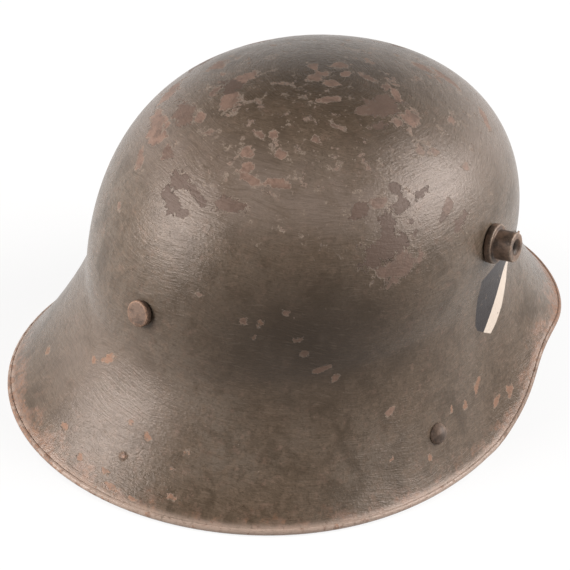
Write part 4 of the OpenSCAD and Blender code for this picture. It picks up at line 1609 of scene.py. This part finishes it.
@dataclass(frozen=True)
class Lug:
    """A side lug: a flange, a barrel with an air bore, and the end set over a ring inside."""

    form: ShellForm
    finish: Finish
    turn: float = 70.5
    height: float = 104.5
    flange_r: float = 9.5
    flange_t: float = 3.4
    barrel_r: float = 7.1
    long: float = 12.5
    vent_r: float = 2.0
    mouth_r: float = 4.0
    mouth_d: float = 2.2
    shank_r: float = 4.0
    lip_r: float = 5.4
    lip_t: float = 0.9
    ring_depth: float = 3.8
    gap: float = 0.1
    edge_soft: float = 0.3
    rim_soft: float = 0.7
    root_soft: float = 0.75
    end_soft: float = 0.8
    mouth_soft: float = 0.5

    def seat(self) -> Seat:
        """Where the lug stands."""
        return self.form.seat(self.turn, self.height)

    def section(self) -> list[Pair]:
        """Draws the lug in section.

        Returns:
            Its points, from the bore's inner end out and round to its mouth.
        """
        f, b, top, soft = self.flange_r, self.barrel_r, self.long, self.edge_soft
        inner = -self.ring_depth - self.gap
        lip, mouth = inner - self.lip_t, top - self.mouth_d
        root, rim = self.flange_t + self.root_soft, self.flange_t - self.rim_soft
        return [
            (self.vent_r, lip), *corner((self.lip_r - soft, lip + soft), soft, -90, 0, 3),
            (self.lip_r, inner), (self.shank_r, inner), (self.shank_r, self.gap), (f - soft, self.gap),
            *corner((f - soft, self.gap + soft), soft, -90, 0, 3), (f, 1.2), (f, self.flange_t - 0.75),
            *corner((f - self.rim_soft, rim), self.rim_soft, 0, 90), (b + 1.1, self.flange_t),
            *corner((b + self.root_soft, root), self.root_soft, 270, 180), (b, 6.2), (b, 8.6),
            (b, top - 1.1), *corner((b - self.end_soft, top - self.end_soft), self.end_soft, 0, 90),
            (self.mouth_r + 0.7, top),
            *corner((self.mouth_r + self.mouth_soft, top - self.mouth_soft), self.mouth_soft, 90, 170, 3),
            ((self.mouth_r + self.vent_r) / 2 + 0.2, top - self.mouth_d * 0.55), (self.vent_r, mouth),
            (self.vent_r, 4.0),
        ]

    def make(self, side: Side) -> None:
        """Builds one side's lug.

        Args:
            side: which one.
        """
        edges = ((self.flange_r - 0.2, self.flange_t - 0.2), (self.barrel_r - 0.3, self.long - 0.3))
        piece = Turned(
            f"lug_{side.value}_forging", self.section(), sides=96, battered=0.11, seed=5, worn_edges=edges,
            mouth_r=self.mouth_r + 0.3,
        ).make(self.seat(), side is Side.LEFT)
        seen(piece, self.finish, "helmet", "lug_steel", f"lug_{side.value}")


@dataclass(frozen=True)
class LinerRivet:
    """A liner rivet: a flat battered head outside and two prongs bent open inside."""

    form: ShellForm
    finish: Finish
    head_r: float = 6.3
    head_h: float = 3.7
    beaten_h: float = 1.6
    head_seat: float = 0.6
    shank_r: float = 2.3
    prong_top: float = -6.1
    prong_l: float = 8.5
    prong_w: float = 4.0
    prong_t: float = 1.0

    def seat(self, turn: float) -> Seat:
        """Where a rivet stands, at the height of the liner band's middle."""
        return self.form.seat(turn, float(around(84.0, 81.75, 79.5, np.array(math.radians(turn)))))

    def make(self, where: str, turn: float, mirror: bool) -> None:
        """Builds one rivet.

        Args:
            where: its place, as its node's name ends.
            turn: its angle round the helmet, on the right.
            mirror: whether it is mirrored to the left.
        """
        r, low, foot = self.head_r, self.prong_top - self.prong_t, self.head_seat
        h = self.head_h if where == "rear" else self.beaten_h
        soft = (h - foot) * 0.32
        section = [
            (0.0, low), (self.shank_r, low), (self.shank_r, foot), (r - 0.4, foot),
            *corner((r - 0.35, foot + 0.35), 0.35, -90, 0, 3), (r, h - soft - 0.2),
            *corner((r - soft, h - soft), soft, 0, 90, 6),
            (r * 0.66, h + 0.02), (r * 0.4, h - 0.12), (r * 0.2, h - 0.05), (0.0, h),
        ]
        name, edges = f"liner_rivet_{where}", ((r - 0.3, h - 0.3),)
        head = Turned(f"{name}_set", section, battered=0.24, seed=int(turn) + 2, worn_edges=edges)
        seat = self.seat(turn)
        pieces = [head.make(seat, mirror), *(self._prong(where, way, seat, mirror) for way in (-1, 1))]
        seen(join(pieces), self.finish, "helmet", "rivet_steel", name)

    def _prong(self, where: str, way: int, seat: Seat, mirror: bool) -> Piece:
        """Makes one prong, bent over and rounded at its end.

        Args:
            where: the rivet's place.
            way: 1 or -1, the side to which the prong is bent.
            seat: where the rivet stands.
            mirror: whether it is mirrored to the left.

        Returns:
            The prong.
        """
        n = 14
        s = np.linspace(0.3, 1.0, n)
        half = self.prong_w / 2 * np.sqrt(np.clip(1 - ((s - 0.72) / 0.285).clip(0) ** 2, 0.02, 1))
        path = np.stack([0 * s, way * s * self.prong_l, np.full(n, self.prong_top - self.prong_t / 2)], -1)
        ring = rounded_box_section(2.0, self.prong_t, 0.3, 3, 3)
        rings = ring[None] * np.stack([np.ones(n), half], -1)[:, None]
        side, up = np.tile([0.0, 0.0, 1.0], (n, 1)), np.tile([1.0, 0.0, 0.0], (n, 1))
        prong = swept(f"prong_{where}_{way}", path, side, up, rings, False)
        count = len(prong.data.vertices)
        local = np.zeros(count * 3)
        prong.data.vertices.foreach_get("co", local)
        placed = seat.place(local.reshape(-1, 3) / MM) * (-1 if mirror else 1, 1, 1) * MM
        prong.data.vertices.foreach_set("co", placed.ravel())
        turn_outwards(prong)
        mark(prong, "worn", np.zeros(count))
        return prong


@dataclass(frozen=True)
class ChinRivet:
    """The domed rivet that holds a chinstrap post to the skirt."""

    form: ShellForm
    finish: Finish
    turn: float = 97.0
    height: float = 24.5
    head_r: float = 5.2
    head_h: float = 3.9
    lift: float = 0.2
    shank_r: float = 2.0
    shank_end: float = -2.9

    def seat(self) -> Seat:
        """Where the rivet stands."""
        return self.form.seat(self.turn, self.height)

    def make(self, side: Side) -> None:
        """Builds one side's rivet.

        Args:
            side: which one.
        """
        r, h, foot = self.head_r, self.head_h, self.lift
        big = (r * r + h * h) / (2 * h)
        arc = corner((0.0, foot + h - big), big, math.degrees(math.asin(1 - h / big)), 90, 12)
        section = [
            (0.0, self.shank_end), (self.shank_r, self.shank_end), (self.shank_r, foot), (r - 0.2, foot),
            *arc[:-1], (0.0, foot + h),
        ]
        name = f"chin_rivet_{side.value}"
        head = Turned(f"{name}_set", section, sides=64, battered=0.12, seed=11, worn_edges=((r, 0.3),))
        seen(head.make(self.seat(), side is Side.LEFT), self.finish, "helmet", "rivet_steel", name)


@dataclass(frozen=True)
class LinerForm:
    """The shapes that the liner's pieces share: the band's height, the pads' rise and their tongues."""

    shell: ShellForm
    band_front: float = 84.0
    band_rear: float = 79.5
    band_w: float = 26.0
    band_t: float = 2.2
    band_gap: float = 1.0
    pad_apart: float = 120.0
    pad_half: float = 33.0
    pad_t: float = 1.8
    rise: tuple[tuple[float, float], ...] = ((3.5, 2.0), (3.5, 20.0), (13.0, 13.0), (13.0, 34.0))
    tongue_pull: float = 22.0
    tongue_sweep: float = 36.0
    tongue_tip_r: float = 15.0
    tongue_top: float = 138.0
    tongue_half_w: float = 9.5
    tongue_root_w: float = 27.0
    tongue_turn: float = 30.0
    rivet_turns: tuple[float, ...] = (-22.0, 0.0, 22.0)
    rivet_up: float = 5.0
    rivet_r: float = 1.45
    parted: float = 0.4
    lace_ring_r: float = 24.0

    def centre(self, place: Place) -> float:
        """Angle of a pad's middle, in degrees."""
        return {Place.FRONT: 0.0, Place.RIGHT: self.pad_apart, Place.LEFT: -self.pad_apart}[place]

    def band_z(self, turn: Array) -> Array:
        """Height of the band's middle."""
        return around(self.band_front, (self.band_front + self.band_rear) / 2, self.band_rear, turn)

    def pad_rise(self, turn: Array, v: Array) -> Array:
        """Draws a pad's back from its root to the foot of its tongues.

        Args:
            turn: angles round the helmet, in radians.
            v: the share of the way up, from 0 to 1.

        Returns:
            Radius and height along the last axis.
        """
        turn, v = np.broadcast_arrays(turn, v)
        q = bezier([np.broadcast_to(p, (*v.shape, 2)) for p in self.rise], v)
        z = self.band_z(turn) - self.band_w / 2 + q[..., 1]
        return np.stack([self.shell.wall_r(turn, z, self.shell.sheet_t) - q[..., 0], z], -1)

    def tongue(self, turn: Array) -> list[Array]:
        """Draws a tongue's back from its foot to its tip.

        Args:
            turn: angles round the helmet, in radians.

        Returns:
            The four control points of its curve at each angle.
        """
        start = self.pad_rise(turn, 1.0)
        way = unit(start - self.pad_rise(turn, 0.96))
        flat = np.broadcast_to([self.tongue_tip_r + self.tongue_sweep, self.tongue_top], start.shape)
        tip = np.broadcast_to([self.tongue_tip_r, self.tongue_top], start.shape)
        return [start, start + self.tongue_pull * way, flat, tip]

    def half_turn(self, centre: float, q: Array) -> Array:
        """Measures half of a tongue's width.

        Args:
            centre: the angle of the pad's middle, in degrees.
            q: the share of the way to the tip.

        Returns:
            The width there, in degrees round the helmet.
        """
        r = bezier(self.tongue(np.full(q.shape, math.radians(centre))), q)[..., 0]
        wide = self.tongue_half_w + (self.tongue_root_w - self.tongue_half_w) * (1 - q)
        tip = np.sqrt(np.clip(1 - (np.clip(q - 0.86, 0, None) / 0.145) ** 2, 0, 1))
        return np.minimum(self.pad_half / 2 - self.parted + 20 * q, np.degrees(wide * tip / r))

    def ring_z(self, turn: Array) -> Array:
        """Finds the tongues over the ring that the lace follows.

        Args:
            turn: angles round the helmet, in radians.

        Returns:
            The height of the leather's middle there.
        """
        curve = self.tongue(turn)
        low, high = np.full(turn.shape, 0.4), np.full(turn.shape, 0.99)
        for _ in range(20):
            mid = (low + high) / 2
            outside = bezier(curve, mid)[..., 0] > self.lace_ring_r
            low, high = np.where(outside, mid, low), np.where(outside, high, mid)
        return bezier(curve, (low + high) / 2)[..., 1] - self.pad_t / 2

    def rivet_seat(self, degrees: float) -> Seat:
        """Where a pad's rivet stands."""
        turn = np.array(math.radians(degrees))
        return self.shell.seat(degrees, float(self.band_z(turn)) - self.band_w / 2 + self.rivet_up)

    def drills(self, name: str, centres: Sequence[float]) -> list[Piece]:
        """Makes the solids that cut the holes for the pads' rivets."""
        turns = enumerate(c + a for c in centres for a in self.rivet_turns)
        return [drill(f"{name}_{k}", self.rivet_seat(t), self.rivet_r, -14.0, 8.0, 28) for k, t in turns]


def hide_edges(piece: Piece, thick: float, soft: float) -> None:
    """Gives a sheet of leather its thickness and softens its cut edges.

    Args:
        piece: a single layer of faces.
        thick: how far it grows against its normals, in millimetres.
        soft: width of the softening along its edges.
    """
    step = piece.modifiers.new("thickness", "SOLIDIFY")
    step.thickness, step.offset, step.use_even_offset = thick * MM, -1.0, True
    applied(piece)
    turn_outwards(piece)
    bevel_edges(piece, soft)


def bevel_edges(piece: Piece, width: float) -> None:
    """Rounds a piece's sharp edges and keeps its faces smooth.

    Args:
        piece: the object.
        width: of the rounding, in millimetres.
    """
    step = piece.modifiers.new("rounding", "BEVEL")
    step.width, step.segments, step.harden_normals = width * MM, 2, True
    step.limit_method, step.angle_limit = "ANGLE", math.radians(40)


@dataclass(frozen=True)
class LinerBand:
    """The leather band that the three rivets hold inside the shell."""

    form: LinerForm
    finish: Finish
    around_n: int = 300
    rivet_r: float = 2.45

    def make(self, rivet_seats: Sequence[tuple[Seat, bool]]) -> None:
        """Builds the band.

        Args:
            rivet_seats: where the liner rivets go through, and whether each is mirrored.
        """
        f, turn = self.form, full_turn(self.around_n)[:, None]
        section = rounded_box_section(f.band_w, f.band_t, 0.75, 4, 12)
        z = f.band_z(turn) + section[None, :, 1]
        r = f.shell.wall_r(turn, z, f.shell.sheet_t) - f.band_gap - f.band_t / 2 + section[None, :, 0]
        points = at_turn(np.stack([r, z], -1), turn)
        points = points * (1 + (Grain(21, 30, 2).at(points) * 0.0012)[..., None] * (1, 1, 0))
        piece = build("liner_band_hide", points, grid_faces(self.around_n, len(section), True, True))
        edge = ease((np.abs(section[:, 1]) / (f.band_w / 2) - 0.86) / 0.14)
        mark(piece, "worn", np.broadcast_to(edge, (self.around_n, len(section))))
        drills = [
            drill(f"band_drill_{k}", seat, self.rivet_r, -14.0, 6.0, 32, mirror)
            for k, (seat, mirror) in enumerate(rivet_seats)
        ]
        cut(piece, drills + f.drills("pad_drill", [f.centre(place) for place in Place]))
        seen(piece, self.finish, "helmet", "band_leather", "liner_band")


@dataclass(frozen=True)
class Pad:
    """A leather pad that rises from the band over its cushion and ends in two laced tongues."""

    form: LinerForm
    finish: Finish
    thread: Finish
    place: Place
    body_rows: int = 30
    tongue_rows: int = 52
    half_cols: int = 16
    eyelet_r: float = 2.3
    eyelet_turn: float = 15.0
    seam_in: float = 0.12

    def _points(self) -> tuple[Array, Array, Array]:
        """Lays the pad's back out in rows.

        Returns:
            Its points, how near each is to a cut edge, and the inward direction there.
        """
        f, centre = self.form, self.form.centre(self.place)
        body = np.linspace(0, 1, self.body_rows, endpoint=False)
        q = np.sin(np.linspace(0, math.pi / 2, self.tongue_rows)) * 0.995
        along_tongue = np.concatenate([0 * body, q])
        half = np.where(along_tongue > 0, f.half_turn(centre, along_tongue), f.pad_half / 2 - f.parted)
        mid = f.pad_half / 2 + (f.tongue_turn - f.pad_half / 2) * ease(along_tongue)
        k = np.linspace(-1, 1, self.half_cols)
        turn = np.radians(centre + np.concatenate(
            [side * mid[:, None] + k[None] * half[:, None] for side in (-1, 1)], 1
        ))
        low, high = turn[: self.body_rows], turn[self.body_rows :]
        rise = f.pad_rise(low, body[:, None])
        over, under = np.minimum(body + 0.01, 1.0)[:, None], np.maximum(body - 0.01, 0.0)[:, None]
        lift = f.pad_rise(low, over) - f.pad_rise(low, under)
        curve = f.tongue(high)
        rows = np.concatenate([rise, bezier(curve, q[:, None] + 0 * high)])
        way = np.concatenate([lift, bezier_way(curve, q[:, None] + 0 * high)])
        inward = unit(np.stack([-way[..., 1], way[..., 0]], -1))
        points, directions = at_turn(rows, turn), at_turn(inward, turn)
        shift = Grain(31, 13, 3).at(points) * 0.28 + Grain(37, 4.2, 2).at(points) * 0.07
        rooted = np.concatenate([ease(body * 3 - 0.6), 1 + 0 * q])[:, None]
        worn = np.broadcast_to(np.tile(ease((np.abs(k) - 0.82) / 0.18), 2), points.shape[:2])
        return points + directions * (shift * rooted)[..., None], worn, directions

    def make(self) -> None:
        """Builds the pad and its seam."""
        f, name = self.form, self.place.value
        points, worn, inward = self._points()
        rows, cols = points.shape[:2]
        faces = [
            quad for quad in grid_faces(rows, cols, False, False).tolist()
            if not (quad[0] % cols == self.half_cols - 1 and quad[0] // cols >= self.body_rows)
        ]
        piece = build(f"pad_{name}_hide", points, faces)
        face = piece.data.polygons[0]
        if face.normal.dot(Vector(inward[0, 0])) > 0:
            piece.data.flip_normals()
        mark(piece, "worn", worn * 0.9)
        hide_edges(piece, f.pad_t, 0.45)
        cutters = f.drills(f"{name}_drill", [f.centre(self.place)])
        for side in (-1, 1):
            for way in (-1, 1):
                turn = math.radians(f.centre(self.place) + side * f.tongue_turn + way * self.eyelet_turn)
                where = at_turn(np.array([f.lace_ring_r, float(f.ring_z(np.array([turn]))[0])]), turn)
                seat = Seat(where, np.array([0.0, 0.0, 1.0]))
                cutters.append(drill(f"{name}_eyelet_{side}_{way}", seat, self.eyelet_r, -5.0, 5.0, 32))
        applied(piece)
        cut(piece, cutters)
        bevel_edges(piece, 0.3)
        seen(piece, self.finish, "helmet", "pad_leather", f"pad_{name}")
        self._seam(points, inward)

    def _seam(self, points: Array, inward: Array) -> None:
        """Sews the pad's sides and foot with one row of stitches.

        Args:
            points: the rows of points of the pad's back.
            inward: the inward direction at each of them.
        """
        f, name, last = self.form, self.place.value, points.shape[1] - 1
        near = max(1, round(self.seam_in * self.half_cols))
        foot, top = max(2, round(0.1 * self.body_rows)), self.body_rows - 1
        up = [(i, near) for i in range(top, foot, -1)]
        over = [(foot, j) for j in range(near, last - near + 1)]
        down = [(i, last - near) for i in range(foot + 1, top + 1)]
        i, j = np.array(up + over + down).T
        path = along(points[i, j] + inward[i, j] * f.pad_t, 0.5)
        picked = np.linspace(0, len(i) - 1, len(path)).round().astype(int)
        stitches, faces = stitch_run(path, inward[i, j][picked], 3.6, 2.5, 0.62)
        seen(build(f"pad_{name}_seam", stitches, faces), self.thread, "helmet", "pad_leather")


@dataclass(frozen=True)
class Cushion:
    """A linen cushion, full in the middle and sewn flat along its edges, behind a pad."""

    form: LinerForm
    finish: Finish
    place: Place
    rows: int = 40
    cols: int = 72
    half: float = 30.0
    behind: float = 3.8
    gap: float = 0.4
    edge: float = 0.8
    fill: float = 0.7

    def make(self) -> None:
        """Builds the cushion."""
        f, name = self.form, self.place.value
        s = np.sin(np.linspace(-1, 1, self.cols + 1) * math.pi / 2)[None]
        v = np.sin(np.linspace(-1, 1, self.rows + 1) * math.pi / 2)[:, None]
        turn = np.radians(f.centre(self.place) + s * self.half * (1 - 0.05 * (1 - v**2)))
        front = f.pad_rise(turn, 0.36 + 0.3 * (v + 1))
        back_r = f.shell.wall_r(turn, front[..., 1], f.shell.sheet_t) - self.behind
        full = back_r - front[..., 0] - self.gap
        crown = (1 - s**6) * (1 - v**4)
        thick = np.minimum(full, self.edge + (full - self.edge) * crown)
        rim = np.maximum(np.abs(s) ** 6, np.abs(v) ** 4)
        pucker = 0.35 * rim * (1 - rim) * 4 * (np.cos(s * 46 + 2 * v) + np.cos(v * 23 + s)) / 2
        moved = {Layer.BACK: (-0.4, 0.3), Layer.FRONT: (1.0, self.gap - 0.12)}
        layers = []
        for layer, (share, most) in moved.items():
            r = back_r - layer.value * thick
            points = at_turn(np.stack([r, front[..., 1]], -1), turn)
            inward = at_turn(np.stack([-np.ones_like(r), 0 * r], -1), turn)
            lump = np.minimum((Grain(43, 11, 3).at(points) * 0.22 * crown + pucker) * share, most)
            layers.append(points + inward * lump[..., None])
        n, m = self.rows + 1, self.cols + 1
        quads, grid = grid_faces(n, m, False, False), np.arange(n * m).reshape(n, m)
        ring = [*grid[0], *grid[1:, -1], *grid[-1, -2::-1], *grid[-2:0:-1, 0]]
        faces = quads.tolist() + (quads[:, ::-1] + n * m).tolist()
        faces += [[a, a + n * m, b + n * m, b] for a, b in zip(ring, ring[1:] + ring[:1])]
        piece = build(f"cushion_{name}_linen", np.stack(layers), faces)
        sheet = layers[0]
        width = np.cumsum(np.linalg.norm(np.diff(sheet, axis=1, prepend=sheet[:, :1]), axis=-1), 1)
        height = np.cumsum(np.linalg.norm(np.diff(sheet, axis=0, prepend=sheet[:1]), axis=-1), 0)
        mark(piece, "warp", np.stack([width, width]) * MM)
        mark(piece, "weft", np.stack([height, height]) * MM)
        smooth = piece.modifiers.new("roundness", "SUBSURF")
        smooth.levels = smooth.render_levels = 1
        seen(piece, self.finish, "helmet", "cushion_cloth", f"cushion_{name}")


@dataclass(frozen=True)
class DrawLace:
    """The cord of three twisted strands that draws the six tongues together, with its knot at the front."""

    form: LinerForm
    finish: Finish
    steps: int = 960
    strands: int = 3
    twist_n: int = 46
    cord_r: float = 0.9
    knot_r: float = 2.0
    knot_half: float = 5.0
    lift: float = 2.1

    def make(self) -> None:
        """Builds the lace."""
        f, turn = self.form, full_turn(self.steps)
        knot = (self.knot_r - self.cord_r) * hump(from_front(turn), 0.0, self.knot_half)
        z = f.ring_z(turn) - self.lift * np.clip(2.4 * np.cos(6 * turn), -1, 1) - knot
        swell = 1 + knot / self.cord_r
        pieces = []
        for k in range(self.strands):
            a = self.twist_n * turn + 2 * np.pi * k / self.strands
            r = f.lace_ring_r + 0.46 * self.cord_r * swell * np.cos(a)
            path = at_turn(np.stack([r, z + 0.46 * self.cord_r * swell * np.sin(a)], -1), turn)
            pieces.append(tube(f"lace_strand_{k}", path, 0.52 * self.cord_r * swell, 7))
        piece = join(pieces)
        piece.name = "draw_lace_cord"
        seen(piece, self.finish, "helmet", "lace_cord", "draw_lace")


@dataclass(frozen=True)
class Chinstrap:
    """The leather strap in its sloping plane, with a creased line along both edges."""

    finish: Finish
    post_y: float = 12.7743
    post_z: float = 23.2642
    tilt: float = 7.00943
    half_span: float = 96.0903
    start: float = 6.6
    side: float = 50.0
    reach: float = 130.0
    wide: float = 14.0
    thick: float = 2.0
    rivets_at: tuple[float, ...] = (11.0, 17.5)
    rivet_r: float = 1.3

    def in_plane(self, local: Array) -> Array:
        """Moves points drawn in the strap's plane to their place.

        Args:
            local: the points, with the strap's width along the third axis.

        Returns:
            Points of the helmet.
        """
        a = math.radians(self.tilt)
        turned = np.array([[1, 0, 0], [0, math.cos(a), -math.sin(a)], [0, math.sin(a), math.cos(a)]])
        return local @ turned.T + (0, self.post_y, self.post_z)

    def make(self) -> None:
        """Builds the strap."""
        straight = np.linspace(-self.start, -self.side, 40, endpoint=False)
        left = np.stack([np.full(40, -self.half_span), straight, 0 * straight], -1)
        a = np.linspace(0, np.pi, 170)
        bow_y = -self.side - (self.reach - self.side) * np.sin(a)
        bow = np.stack([-self.half_span * np.cos(a), bow_y, 0 * a], -1)
        path = np.concatenate([left, bow, left[::-1] * (-1, 1, 1)])
        way = unit(np.gradient(path, axis=0))
        out = np.stack([way[:, 1], -way[:, 0], np.zeros(len(way))], -1)
        section = rounded_box_section(self.wide, self.thick, 0.7, 4, 20)
        groove = 0.16 * hump(np.abs(section[:, 1]) - self.wide / 2, -1.9, 0.32)
        section = section - np.stack([np.sign(section[:, 0]) * groove, 0 * groove], -1)
        local = path[:, None] + section[None, :, :1] * out[:, None] + section[None, :, 1:] * (0.0, 0.0, 1.0)
        local = local + out[:, None] * (Grain(51, 16, 2).at(local) * 0.10)[..., None]
        rows, cols = local.shape[:2]
        faces = grid_faces(rows, cols, False, True).tolist()
        faces += [list(range(cols))[::-1], list(range((rows - 1) * cols, rows * cols))]
        piece = build("chinstrap_hide", self.in_plane(local), faces)
        edge = ease((np.abs(section[:, 1]) / (self.wide / 2) - 0.84) / 0.16)
        mark(piece, "worn", np.broadcast_to(edge, (rows, cols)) * 0.85)
        cutters = []
        for side in (-1, 1):
            for k, y in enumerate(self.rivets_at):
                where = self.in_plane(np.array([side * self.half_span, -y, 0.0]))
                seat = Seat(where, np.array([float(side), 0.0, 1e-6]))
                cutters.append(drill(f"strap_drill_{side}_{k}", seat, self.rivet_r, -6.0, 6.0, 24))
        cut(piece, cutters)
        seen(piece, self.finish, "strap", "strap_leather", "chinstrap")


@dataclass(frozen=True)
class CarriedNode:
    """A CAD node that keeps its shape and gets a finish and rounded edges."""

    node: str
    finish: Finish
    rounding: float = 0.2

    def dress(self) -> None:
        """Finishes the node."""
        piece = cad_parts[self.node]
        for slot in piece.material_slots:
            slot.material = self.finish
        if not piece.material_slots:
            piece.data.materials.append(self.finish)
        bevel_edges(piece, self.rounding)
        LOG.info("%s keeps its shape and gets %s", self.node, self.finish.name)


@dataclass(frozen=True)
class SoftLamp:
    """A rectangular studio lamp that looks at the helmet."""

    name: str
    azimuth: float
    elevation: float
    distance: float
    width: float
    height: float
    level: float
    colour: Colour = (1.0, 1.0, 1.0)

    def make(self, target: Vector) -> None:
        """Sets the lamp up. Its level is the brightness of its face.

        Args:
            target: the point that it looks at, in metres.
        """
        data = bpy.data.lights.new(self.name, "AREA")
        data.shape, data.size, data.size_y, data.color = "RECTANGLE", self.width, self.height, self.colour
        data.energy = self.level * math.pi * self.width * self.height
        lamp = bpy.data.objects.new(self.name, data)
        bpy.context.scene.collection.objects.link(lamp)
        back = toward(self.azimuth, self.elevation)
        lamp.location = target + back * self.distance
        lamp.rotation_mode = "QUATERNION"
        lamp.rotation_quaternion = back.to_track_quat("Z", "Y")


def toward(azimuth: float, elevation: float) -> Vector:
    """Direction from the helmet to something seen at an azimuth and elevation."""
    a, e = math.radians(azimuth), math.radians(elevation)
    return Vector((math.sin(a) * math.cos(e), -math.cos(a) * math.cos(e), math.sin(e)))


@dataclass(frozen=True)
class Studio:
    """The pale floor, the soft lamps and the camera at the photograph's angle."""

    azimuth: float = 217.193
    elevation: float = 32.026
    roll: float = 7.471
    distance: float = 1176.919
    lens: float = 153.6
    target: Colour = (-2.913, 10.814, 55.407)
    ambient: float = 0.12
    room: float = 0.08
    floor_r: float = 14.0
    shadow_share: float = 0.20
    lamps: tuple[SoftLamp, ...] = (
        SoftLamp("lamp_left", 148, 23, 1.6, 1.25, 0.80, 12.5, (1.0, 0.97, 0.95)),
        SoftLamp("lamp_right", 312, 31, 1.7, 1.35, 1.00, 10.5, (1.0, 0.97, 0.95)),
    )

    def make(self) -> None:
        """Builds everything that isn't part of the helmet."""
        self._camera()
        self._world()
        self._floor()
        for lamp in self.lamps:
            lamp.make(Vector((0.0, 0.0, 0.08)))

    def _camera(self) -> None:
        """Puts the camera where the photograph was taken from."""
        back = toward(self.azimuth, self.elevation)
        a, r = math.radians(self.azimuth), math.radians(self.roll)
        right = Vector((math.cos(a), math.sin(a), 0.0))
        up = back.cross(right)
        side, top = math.cos(r) * right + math.sin(r) * up, -math.sin(r) * right + math.cos(r) * up
        data = bpy.data.cameras.new("camera")
        data.lens, data.sensor_width, data.clip_end = self.lens, 36.0, 100.0
        camera = bpy.data.objects.new("camera", data)
        bpy.context.scene.collection.objects.link(camera)
        where = Vector(self.target) * MM + back * (self.distance * MM)
        camera.matrix_world = Matrix.Translation(where) @ Matrix((side, top, back)).transposed().to_4x4()
        bpy.context.scene.camera = camera

    @staticmethod
    def _shown(g: Graph) -> Socket:
        """1 for the rays that see the background or the floor, and 0 for the light that it sheds."""
        rays = g.node("ShaderNodeLightPath", {}).outputs
        return g.math("MAXIMUM", g.math("MAXIMUM", rays[CAMERA], rays[GLOSSY]), rays[CLEAR])

    def _world(self) -> None:
        """Sets up a white background that sheds a soft grey light and is seen in gloss only low down."""
        g = Graph("studio", world=True)
        high = g.parts(g.node("ShaderNodeTexCoord", {}).outputs["Generated"])[2]
        fade = {"Value": high, "From Min": 0.55, "From Max": 0.25, "To Min": self.room, "To Max": 1.0}
        low = g.node("ShaderNodeMapRange", fade).outputs[0]
        camera_ray = g.node("ShaderNodeLightPath", {}).outputs[CAMERA]
        share = g.times(self._shown(g), g.math("MAXIMUM", camera_ray, low))
        soft = g.node("ShaderNodeBackground", {"Color": (1, 1, 1), "Strength": self.ambient}).outputs[0]
        white = g.node("ShaderNodeBackground", {"Color": (1, 1, 1)}).outputs[0]
        both = g.node("ShaderNodeMixShader", {0: share, 1: soft, 2: white}).outputs[0]
        bpy.context.scene.world = g.shown(both)

    def _floor(self) -> None:
        """Lays a white floor that keeps the helmet's shadow and fades into the background."""
        a = full_turn(96)
        points = np.stack([np.cos(a), np.sin(a), 0 * a], -1) * self.floor_r / MM
        floor = build("studio_floor", points, [list(range(96))])
        g = Graph("floor_white")
        apart = g.node("ShaderNodeVectorMath", {0: g.position()}, operation="LENGTH").outputs["Value"]
        near = g.math("SUBTRACT", 1.0, g.step(apart, 0.35, 1.6))
        share = g.math("SUBTRACT", 1.0, g.times(near, self.shadow_share))
        glow = g.node("ShaderNodeEmission", {"Color": (1, 1, 1)}).outputs[0]
        lit = g.node("ShaderNodeBsdfDiffuse", {"Color": (0.9, 0.9, 0.9)}).outputs[0]
        plain = g.node("ShaderNodeBsdfDiffuse", {"Color": (0.42, 0.41, 0.40)}).outputs[0]
        seen_floor = g.node("ShaderNodeMixShader", {0: share, 1: lit, 2: glow}).outputs[0]
        both = g.node("ShaderNodeMixShader", {0: self._shown(g), 1: plain, 2: seen_floor}).outputs[0]
        floor.data.materials.append(g.shown(both))


@dataclass(frozen=True)
class Helmet:
    """The whole helmet, built piece by piece."""

    finishes: Finishes
    shell_form: ShellForm = ShellForm()
    liner_turn: float = 47.0
    hole_gap: float = 0.15

    def make(self) -> None:
        """Builds every piece in the order in which it is put together."""
        f, paint, turn = self.shell_form, self.finishes, self.liner_turn
        lug, rivet, chin = Lug(f, paint.lug), LinerRivet(f, paint.rivet), ChinRivet(f, paint.chin_rivet)
        seats = [(rivet.seat(180.0), False), (rivet.seat(turn), False), (rivet.seat(turn), True)]
        holes = [(seat, rivet.shank_r + self.hole_gap, mirror) for seat, mirror in seats]
        for mirror in (False, True):
            holes.append((lug.seat(), lug.shank_r + self.hole_gap, mirror))
            holes.append((chin.seat(), chin.shank_r + self.hole_gap, mirror))
        Shell(f, paint.shell, holes).make()
        for side in Side:
            lug.make(side)
            chin.make(side)
            rivet.make(side.value, turn, side is Side.LEFT)
        rivet.make("rear", 180.0, False)
        self._liner(seats)
        Chinstrap(paint.strap).make()
        self._fittings()

    def _liner(self, seats: Sequence[tuple[Seat, bool]]) -> None:
        """Builds the band, the pads, their cushions and the lace.

        Args:
            seats: the liner rivets' seats, and whether each is mirrored.
        """
        paint, form = self.finishes, LinerForm(self.shell_form)
        LinerBand(form, paint.band).make(seats)
        for place in Place:
            Pad(form, paint.pad, paint.stitch, place).make()
            Cushion(form, paint.cushion, place).make()
        DrawLace(form, paint.lace).make()

    def _fittings(self) -> None:
        """Finishes the CAD nodes that keep their shape."""
        inner, outer = self.finishes.inner_steel, self.finishes.strap_steel
        for side in Side:
            for name, finish, rounding in (
                ("lug_ring", inner, 0.25), ("rivet_washer", inner, 0.2), ("chin_post", inner, 0.3),
                ("strap_clip", outer, 0.3), ("strap_rivets", outer, 0.2), ("strap_buckle", outer, 0.35),
            ):
                CarriedNode(f"{name}_{side.value}", finish, rounding).dress()
        for name in ("rivet_washer_rear", "pad_rivets"):
            CarriedNode(name, inner).dress()


def main() -> None:
    logging.basicConfig(level=logging.INFO, format="%(name)s: %(message)s")
    bpy.context.scene.view_settings.view_transform = "Standard"
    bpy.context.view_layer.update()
    Studio().make()
    Helmet(Finishes.mixed()).make()


if __name__ == "__main__":
    main()
